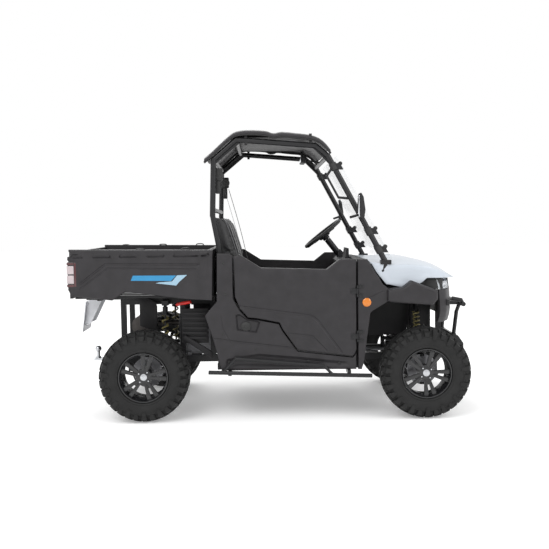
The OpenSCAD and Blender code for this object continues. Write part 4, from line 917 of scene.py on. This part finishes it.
# Tail lights: housing with a white lamp between red ones
light_low, light_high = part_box("tail_lights")
for side_name, side in SIDES:
    inner = bed_out_y - 0.045
    x_low, x_high = light_low[0], light_high[0] - 0.001
    z_low, z_high = light_low[2] + 0.001, light_high[2] - 0.001
    outer_y = light_high[1]
    shell = slab((x_low + 0.006, inner, z_low), (x_high, outer_y - 0.0015, z_high), 0.004)
    add(f"tail_light_housing_{side_name}", *on_side(shell, side), grip_rubber, "cargo_bed", "lamp_red",
        ["tail_lights"] if side > 0 else [])
    reds, whites = [], []
    for k, (low_share, high_share) in enumerate(((0.02, 0.12), (0.15, 0.48), (0.52, 0.85), (0.88, 0.98))):
        z0 = z_low + (z_high - z_low) * low_share
        z1 = z_low + (z_high - z_low) * high_share
        lamp = slab((x_low, inner + 0.004, z0), (x_high - 0.020, outer_y, z1), 0.004)
        (whites if k in (1, 2) else reds).append(lamp)
    frame_strip = slab((x_high - 0.019, inner + 0.006, z_low + 0.006),
                       (x_high - 0.004, outer_y, z_high - 0.006), 0.003)
    reds.append(frame_strip)
    add(f"tail_light_red_{side_name}", *on_side(join(*reds), side), lamp_red, "cargo_bed", "lamp_red")
    add(f"tail_light_white_{side_name}", *on_side(join(*whites), side), lamp_white, "cargo_bed", "lamp_red")

# Plain stripe graphic on the bed side
blue = rounded_slab(along(rear_x, (-62, 1040), (-78, 1004), (205, 999), (240, 1037)), bed_out_y - 0.004,
                    bed_out_y + 0.0008, 0)
pale = rounded_slab(along(rear_x, (248, 1038), (212, 996), (120, 990), (96, 984), (240, 966), (262, 992),
                          (318, 1040)), bed_out_y - 0.004, bed_out_y + 0.0007, 0)
both_sides("bed_stripe_blue", blue, stripe_blue, "cargo_bed", "body_plastic")
both_sides("bed_stripe_pale", pale, stripe_pale, "cargo_bed", "body_plastic")


# ---------------------------------------------------------------- roof, mirrors and cage fittings
roof_line = [(-0.075, 0.196), (-0.032, 0.161), (0.040, 0.094), (0.110, 0.031), (0.146, 0.009), (0.216, 0.0),
             (0.320, 0.004), (0.378, 0.010), (0.398, 0.026), (0.440, 0.026), (0.460, 0.012), (0.560, 0.026),
             (0.672, 0.036), (0.742, 0.060), (0.790, 0.104), (0.818, 0.142)]
roof_half = [(0.14, 0.001), (0.20, 0.012), (0.56, 0.012), (0.62, 0.0), (0.80, 0.003), (0.93, 0.010),
             (0.985, 0.024), (1.0, 0.042)]
roof_section = [(-share, sag) for share, sag in reversed(roof_half)] + roof_half
roof_out_y = roof_high[1]
rows = []
for dx, drop in roof_line:
    row = []
    for share, sag in roof_section:
        row.append((cab_x + dx, share * roof_out_y, roof_high[2] - drop - sag))
    rows.append(row)
skin(rows, -0.012, body_plastic, "roof_skin", ["roof"])
lining = slab((cab_x + 0.160, -0.560, roof_high[2] - 0.062), (cab_x + 0.700, 0.560, roof_high[2] - 0.052),
              0.003)
lip = []
for sign in (-1, 1):
    lip.append(pipe([(cab_x + dx, sign * (roof_out_y - 0.012), roof_high[2] - drop - 0.046) for dx,
                     drop in roof_line],
                    0.008, smooth=1, sides=8))
bracket_foot_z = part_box("roll_cage")[1][2] - 0.060
brackets = []
for x in (cab_x + 0.220, front_x - 0.800):
    for sign in (-1, 1):
        y_low, y_high = sorted((sign * 0.612, sign * 0.639))
        brackets.append(slab((x - 0.010, y_low, bracket_foot_z), (x + 0.010, y_high, roof_high[2] - 0.045),
                             0.002))
add("roof_edge_trim", *join(*lip), grip_rubber, "chassis", "grip_rubber")
add("roof_lining", *join(lining, *brackets), lower_plastic, "chassis", "body_plastic")

mirror_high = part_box("mirrors")[1]
for side_name, side in SIDES:
    mirror_x = front_x - 0.460
    y_in, y_out = mirror_high[1] - 0.124, mirror_high[1] - 0.001
    outline = [(mirror_x - 0.014, 1.422), (mirror_x + 0.014, 1.412), (mirror_x + 0.024, 1.480),
               (mirror_x + 0.012, 1.568), (mirror_x - 0.006, 1.600), (mirror_x - 0.014, 1.588)]
    housing = rounded_slab(outline, y_in, y_out, 0.010, 3)
    glass = slab((mirror_x - 0.0195, y_in + 0.010, 1.430), (mirror_x - 0.0135, y_out - 0.010, 1.578), 0.003)
    stalk = pipe([(mirror_x - 0.065, mirror_high[1] - 0.165, 1.430),
                  (mirror_x - 0.03, mirror_high[1] - 0.135, 1.440),
                  (mirror_x, y_in + 0.01, 1.450)], 0.009)
    add(f"mirror_housing_{side_name}", *on_side(join(housing, stalk), side), cab_plastic, "chassis",
        "cab_plastic",
        ["mirrors"] if side > 0 else [])
    add(f"mirror_glass_{side_name}", *on_side(glass, side), mirror_glass, "chassis", "plate_metal")
pillar_top_x = front_x - 0.678
pillar_top_z = roof_high[2] - 0.203
centre_mirror = rounded_slab([(pillar_top_x - 0.168, pillar_top_z - 0.006),
                              (pillar_top_x - 0.128, pillar_top_z - 0.009), (pillar_top_x - 0.121,
        pillar_top_z + 0.040), (pillar_top_x - 0.160, pillar_top_z + 0.046)], -0.118, 0.118, 0.008, 3)
hanger = pipe([(pillar_top_x - 0.124, 0, pillar_top_z + 0.016),
               (pillar_top_x - 0.06, 0, pillar_top_z + 0.010), (pillar_top_x - 0.018, 0,
        pillar_top_z)], 0.007)
add("centre_mirror", *join(centre_mirror, hanger), cab_plastic, "chassis", "cab_plastic")
centre_glass = slab((pillar_top_x - 0.1695, -0.108, pillar_top_z + 0.000),
                    (pillar_top_x - 0.164, 0.108, pillar_top_z + 0.038), 0.002)
add("centre_mirror_glass", *centre_glass, mirror_glass, "chassis", "plate_metal")

# Clamps round the windshield pillars
def pillar_at(z):
    """Middle of the right windshield pillar at a height, from its foot on the frame to its top."""
    foot = Vector((front_x - 0.279, 0.645, 1.118))
    top = Vector((pillar_top_x, 0.635, pillar_top_z))
    return foot.lerp(top, (z - foot[2]) / (top[2] - foot[2]))


clamps = []
for z in (1.200, 1.330, 1.790):
    at = pillar_at(z)
    on = pillar_at(z + 0.03) - at
    clamps.append(pipe([at - on * 0.75, at + on * 0.75], 0.027, smooth=0, sides=20))
    knob = at + Vector((0.046, 0.0, 0.020))
    clamps.append(disc(knob, 0.015, 0.014, "Y", 0.003, 12))
both_sides("windshield_clamps", join(*clamps), grip_rubber, "chassis", "grip_rubber")

# ---------------------------------------------------------------- cab
wheel_at = Vector((front_x - 0.648, middle("steering_wheel")[1], 1.305))
column_angle = math.radians(-37.8)
tilt = Matrix.Rotation(column_angle, 3, "Y")
ring_r = 0.171
ring_steps = 36
ring = pipe([(ring_r * math.cos(a), ring_r * math.sin(a), 0.0)
             for a in np.linspace(0, 2 * math.pi, ring_steps, endpoint=False)],
            0.0145, smooth=1, sides=12, closed=True)
spokes = []
for degrees in (60, 180, 300):
    turn = Matrix.Rotation(math.radians(degrees), 3, "Z")
    shape = slab((0.030, -0.022, -0.024), (0.100, 0.022, -0.010), 0.005)
    outer = slab((0.090, -0.015, -0.020), (ring_r - 0.004, 0.015, -0.006), 0.004)
    spokes += [moved(shape, turn=turn), moved(outer, turn=turn)]
hub = [disc((0, 0, -0.020), 0.052, 0.018, "Z", 0.008), disc((0, 0, -0.075), 0.011, 0.040, "Z"),
       disc((0, 0, -0.046), 0.030, 0.012, "Z", 0.004)]
add("steering_rim", *moved(ring, wheel_at, tilt), grip_rubber, "steering_wheel", "grip_rubber",
    ["steering_wheel"])
add("steering_spokes", *moved(join(*spokes, *hub), wheel_at, tilt), cab_plastic, "steering_wheel",
    "cab_plastic")

# Seat belts: retractors on the rear posts, webbing down to the seat
belt_y = 0.585
for side_name, side in SIDES:
    box_part = join(slab((cab_x - 0.012, belt_y - 0.030, 1.700), (cab_x + 0.050, belt_y + 0.020, 1.790),
                         0.008),
                    slab((cab_x + 0.000, belt_y - 0.024, 1.610), (cab_x + 0.036, belt_y + 0.014, 1.702),
                         0.006),
                    disc((cab_x + 0.020, belt_y - 0.005, 1.745), 0.036, 0.026, "Y", 0.005))
    add(f"belt_retractor_{side_name}", *on_side(box_part, side), grip_rubber, "chassis", "grip_rubber")
    strap_rows = []
    for share in np.linspace(0, 1, 12):
        x = cab_x + 0.046 + share * 0.190
        z = 1.690 - share * 0.780
        sway = 0.012 * math.sin(math.pi * share)
        strap_rows.append([(x + sway, side * (belt_y - 0.030 - 0.10 * share), z),
                           (x + sway + 0.002, side * (belt_y + 0.014 - 0.10 * share), z)])
    skin(strap_rows, 0.0016, webbing, f"belt_webbing_{side_name}", levels=1)
    buckle = slab((cab_x + 0.216, belt_y - 0.150, 0.868), (cab_x + 0.252, belt_y - 0.092, 0.935), 0.006)
    add(f"belt_buckle_{side_name}", *on_side(buckle, side), grip_rubber, "chassis", "grip_rubber")


# ---------------------------------------------------------------- seats
def swell(part, voxel, cap, name):
    """The shape remeshed and blown up by cloth simulation, each point moving at most cap."""
    mesh = bpy.data.meshes.new(name)
    mesh.from_pydata(part[0], [], part[1])
    pad = bpy.data.objects.new(name + "_raw", mesh)
    scene.collection.objects.link(pad)
    remesh = pad.modifiers.new("remesh", "REMESH")
    remesh.mode = "VOXEL"
    remesh.voxel_size = voxel
    soft = bpy.data.meshes.new_from_object(pad.evaluated_get(bpy.context.evaluated_depsgraph_get()))
    bpy.data.objects.remove(pad)
    pad = bpy.data.objects.new(name + "_soft", soft)
    scene.collection.objects.link(pad)
    before = np.empty(len(soft.vertices) * 3)
    soft.vertices.foreach_get("co", before)
    cloth = pad.modifiers.new("cloth", "CLOTH")
    cloth.settings.use_pressure = True
    cloth.settings.uniform_pressure_force = 4.0
    cloth.settings.effector_weights.gravity = 0.0
    cloth.settings.tension_stiffness = 18.0
    cloth.settings.quality = 5
    cloth.point_cache.frame_start = 1
    cloth.point_cache.frame_end = 20
    for number in range(1, 21):
        scene.frame_set(number)
    blown = bpy.data.meshes.new_from_object(pad.evaluated_get(bpy.context.evaluated_depsgraph_get()))
    after = np.empty(len(blown.vertices) * 3)
    blown.vertices.foreach_get("co", after)
    scene.frame_set(1)
    shift = (after - before).reshape(-1, 3)
    length = np.linalg.norm(shift, axis=1)
    shift *= np.minimum(1, cap / np.maximum(length, 1e-9))[:, None]
    before = before + shift.ravel()
    bpy.data.meshes.remove(blown)
    bpy.data.objects.remove(pad)
    soft.vertices.foreach_set("co", before)
    return soft, before.reshape(-1, 3)


def channel(points, distance, half_w, depth, normal):
    """Points near a sewn line, sunk along a direction."""
    near = np.clip(1 - distance / half_w, 0, 1)
    return points + np.outer(-depth * near ** 1.5, normal)


back_low, back_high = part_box("seat_backs")
back_pitch = (back_high[1] - back_low[1]) / 3 + 0.010
back_outline = along(cab_x, (62, 885), (140, 890), (146, 1155), (112, 1275), (70, 1400), (22, 1438),
                     (-18, 1438),
                     (-22, 1424), (26, 1200))
back_shape = rounded_slab(back_outline, -0.166, 0.166, 0.016, 2)
soft, points = swell(back_shape, 0.006, 0.016, "seat_back")
facing = (points[:, 0] - cab_x) > 0.040 + (1.30 - points[:, 2]) * 0.20
lean = np.array((0.96, 0.0, 0.27))
for y in (-0.10, 0.10):
    pull = channel(points, np.abs(points[:, 1] - y), 0.010, 0.007, lean)
    points = np.where(facing[:, None], pull, points)
for z in (1.02, 1.17, 1.30):
    within = facing & (np.abs(points[:, 1]) < 0.10)
    pull = channel(points, np.abs(points[:, 2] - z), 0.009, 0.006, lean)
    points = np.where(within[:, None], pull, points)
points[:, 2] = np.minimum(points[:, 2], 1.451)
points[:, 0] = np.maximum(points[:, 0], cab_x - 0.033)
soft.vertices.foreach_set("co", points.ravel())
places = (-back_pitch, 0.0, back_pitch)
for number, y in enumerate(places):
    copy = soft.copy()
    copy.transform(Matrix.Translation((0, y, 0)))
    pad = settle(f"seat_back_pad_{number}", copy, vinyl, "chassis",
                 ["seat_backs"] if number == 0 else [], 60)
    pad.modifiers.new("smooth", "SUBSURF").levels = 1
    pad.modifiers["smooth"].render_levels = 1
    seam = pipe([(cab_x + 0.150, y - 0.170, 0.900), (cab_x + 0.154, y - 0.172, 1.150),
                 (cab_x + 0.118, y - 0.172, 1.275),
                 (cab_x + 0.072, y - 0.168, 1.405), (cab_x + 0.045, y - 0.14, 1.435), (cab_x + 0.045,
                         y + 0.14, 1.435),
                 (cab_x + 0.072, y + 0.168, 1.405), (cab_x + 0.118, y + 0.172, 1.275), (cab_x + 0.154,
                         y + 0.172, 1.150),
                 (cab_x + 0.150, y + 0.170, 0.900)], 0.0028, smooth=2, sides=6)
    add(f"seat_back_piping_{number}", *seam, piping, "chassis", "seat_vinyl")
shells = []
for y in places:
    shells.append(slab((cab_x + 0.066, y - 0.058, 0.7205), (cab_x + 0.081, y + 0.058, 0.885), 0.003))
    backing = rounded_slab([(0.030, 1.200), (-0.022, 1.424), (-0.027, 1.444), (-0.032, 1.444),
                            (-0.030, 1.424),
                            (0.018, 1.196), (0.058, 0.880), (0.064, 0.880)], y - 0.150, y + 0.150, 0.002)
    shells.append(moved(backing, (cab_x, 0, 0)))
add("seat_back_shells", *join(*shells), cab_plastic, "chassis", "cab_plastic")

seat_low, seat_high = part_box("seat_cushion")
base_outline = [(seat_low[0] + 0.012, 0.735), (seat_high[0] - 0.034, 0.735), (seat_high[0] - 0.014, 0.752),
                (seat_high[0] - 0.016, 0.835), (seat_high[0] - 0.050, 0.852), (seat_low[0] + 0.050, 0.836),
                (seat_low[0] + 0.014, 0.828)]
width = (seat_high[1] - seat_low[1]) / 3
base_shape = rounded_slab(base_outline, -width / 2 + 0.014, width / 2 - 0.014, 0.016, 2)
soft, points = swell(base_shape, 0.006, 0.014, "seat_base")
upper = points[:, 2] > 0.80
for y in (-0.11, 0.11):
    pull = channel(points, np.abs(points[:, 1] - y), 0.010, 0.007, np.array((0, 0, 1.0)))
    points = np.where(upper[:, None], pull, points)
for x in (seat_low[0] + 0.17, seat_low[0] + 0.30):
    within = upper & (np.abs(points[:, 1]) < 0.11)
    pull = channel(points, np.abs(points[:, 0] - x), 0.009, 0.006, np.array((0, 0, 1.0)))
    points = np.where(within[:, None], pull, points)
points[:, 2] = np.clip(points[:, 2], 0.7205, 0.868)
soft.vertices.foreach_set("co", points.ravel())
for number, y in enumerate((-width, 0.0, width)):
    copy = soft.copy()
    copy.transform(Matrix.Translation((0, y, 0)))
    pad = settle(f"seat_base_pad_{number}", copy, vinyl, "chassis",
                 ["seat_cushion"] if number == 0 else [], 60)
    pad.modifiers.new("smooth", "SUBSURF").levels = 1
    pad.modifiers["smooth"].render_levels = 1

# ---------------------------------------------------------------- shock absorbers
def coil_over(foot, head, coil_r):
    """Spring, body, rod and eyes between two points; returns the spring and the rest."""
    foot, head = Vector(foot), Vector(head)
    run = (head - foot).normalized()
    side = run.cross(Vector((0, 1, 0)) if abs(run[1]) < 0.9 else Vector((1, 0, 0))).normalized()
    other = run.cross(side)
    low, high = foot + run * 0.045, head - run * 0.070
    turns = 8
    count = turns * 16
    line = []
    for i in range(count + 1):
        angle = 2 * math.pi * turns * i / count
        line.append(low.lerp(high, i / count) + coil_r * (math.cos(angle) * side + math.sin(angle) * other))
    spring = pipe(line, 0.0062, smooth=0, sides=8)
    body = [pipe([foot + run * 0.012, foot + run * 0.16], 0.016, smooth=0, sides=20),
            pipe([foot + run * 0.10, head - run * 0.02], 0.008, smooth=0, sides=14),
            pipe([low - run * 0.010, low + run * 0.004], coil_r + 0.006, smooth=0, sides=24),
            pipe([high - run * 0.004, high + run * 0.010], coil_r + 0.006, smooth=0, sides=24),
            pipe([high + run * 0.008, head - run * 0.010], 0.020, smooth=0, sides=20),
            disc(foot + Vector((0, 0, 0.012)), 0.013, 0.012, "X",
                 0.002), disc(head - Vector((0, 0, 0.012)), 0.013, 0.012, "X", 0.002)]
    return spring, join(*body)


springs, dampers = [], []
for x, y_low, y_high, z_low, z_high in ((front_x, 0.410, 0.300, 0.4535, 0.7897),
                                        (rear_x + 0.118, 0.400, 0.345, 0.2695, 0.7925)):
    for sign in (-1, 1):
        spring, rest = coil_over((x, sign * y_low, z_low), (x, sign * y_high, z_high), 0.0225)
        springs.append(spring)
        dampers.append(rest)
add("shock_springs", *join(*springs), spring_paint, "chassis", "spring_steel", ["shocks"])
add("shock_dampers", *join(*dampers), frame_paint, "chassis", "spring_steel")


# ---------------------------------------------------------------- bed latch lever, louvres and small parts
lever = pipe([(rear_x + 0.185, -0.330, 0.800), (rear_x + 0.190, -0.420, 0.812),
              (rear_x + 0.225, -0.500, 0.812)], 0.006)
grip = pipe([(rear_x + 0.222, -0.494, 0.812), (rear_x + 0.262, -0.560, 0.826),
             (rear_x + 0.330, -0.590, 0.838)], 0.012, smooth=2)
add("bed_latch_lever", *lever, frame_paint, "chassis", "frame_black")
add("bed_latch_grip", *grip, red_grip, "chassis", "grip_rubber")
louvre_count, louvre_foot_z, louvre_pitch = 6, 0.560, 0.036
for side_name, side in SIDES:
    louvres = []
    for i in range(louvre_count):
        z = louvre_foot_z + i * louvre_pitch
        louvres.append(slab((rear_x + 0.262, 0.520, z), (rear_x + 0.440, 0.536, z + 0.018), 0.003))
    louvres.append(slab((rear_x + 0.255, 0.505, 0.530), (rear_x + 0.450, 0.521, 0.785), 0.004))
    louvres.append(slab((rear_x + 0.262, 0.215, 0.740), (rear_x + 0.290, 0.508, 0.765), 0.003))
    louvres.append(rounded_slab(along(rear_x, (277, 595), (277, 555), (477, 418), (477, 472)), 0.535,
                                0.552, 0.003))
    add(f"air_louvres_{side_name}", *on_side(join(*louvres), side), lower_plastic, "chassis", "body_plastic")

guard = rounded_slab(along(rear_x, (-143, 871), (-73, 800), (-73, 640), (54, 595), (54, 815), (-60, 871)),
                     -0.352, -0.340, 0.004)
box = slab((rear_x - 0.060, -0.338, 0.640), (rear_x + 0.048, -0.250, 0.790), 0.012)
add("rear_guard_and_air_box", *join(guard, box), lower_plastic, "chassis", "body_plastic")

# ---------------------------------------------------------------- finishes of the CAD pieces that stay
FINISHES = {
    frame_paint: ("chassis_frame", "front_bumper", "roll_cage", "step_bars", "steering_column",
                  "front_a_arms",
                  "rear_a_arms", "bed_subframe"),
    cab_plastic: ("dashboard", "cab_floor", "rear_bulkhead"),
    cast_metal: ("rear_knuckles", "driveline", "engine_block", "tie_rods", "front_knuckle_right",
                 "front_knuckle_left"),
    shield_clear: ("windshield",),
    exhaust_steel: ("muffler",),
    bright_metal: ("tow_hitch",),
    plate_white: ("plate_bracket",),
}
for finish, node_names in FINISHES.items():
    for node_name in node_names:
        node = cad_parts[node_name]
        if not node.data.materials:
            node.data.materials.append(finish)
        for slot in node.material_slots:
            slot.material = finish

# ---------------------------------------------------------------- floor and light
floor_mesh = bpy.data.meshes.new("floor")
floor_mesh.from_pydata([(-30, -14, 0), (30, -14, 0), (30, 40, 0), (-30, 40, 0)], [], [(0, 1, 2, 3)])
floor = bpy.data.objects.new("floor", floor_mesh)
scene.collection.objects.link(floor)
floor_finish = surface("studio_floor", (0.88, 0.88, 0.88), 0.7, mottle=0.01, blotch=2.0)
floor_shader = floor_finish.node_tree.nodes["Principled BSDF"]
floor_shader.inputs["Emission Color"].default_value = (1.0, 1.0, 1.0, 1.0)
floor_shader.inputs["Emission Strength"].default_value = 0.22
floor_mesh.materials.append(floor_finish)

world = bpy.data.worlds.new("studio")
world.use_nodes = True
world.node_tree.nodes["Background"].inputs["Color"].default_value = (1.0, 1.0, 1.0, 1.0)
world.node_tree.nodes["Background"].inputs["Strength"].default_value = 1.0
scene.world = world


def area_light(name, place, target, power, size):
    """Soft square light aimed at a point."""
    data = bpy.data.lights.new(name, "AREA")
    data.energy = power
    data.size = size
    lamp = bpy.data.objects.new(name, data)
    scene.collection.objects.link(lamp)
    lamp.location = place
    lamp.rotation_euler = (Vector(target) - Vector(place)).to_track_quat("-Z", "Y").to_euler()


area_light("key_light", (-2.5, -5.0, 5.5), (0, 0, 0.8), 210, 4.0)
area_light("front_light", (5.0, -3.5, 4.0), (0.6, 0, 0.8), 110, 3.0)
area_light("back_light", (-1.0, 5.0, 5.0), (0, 0, 1.0), 150, 4.0)
scene.view_settings.view_transform = "Standard"
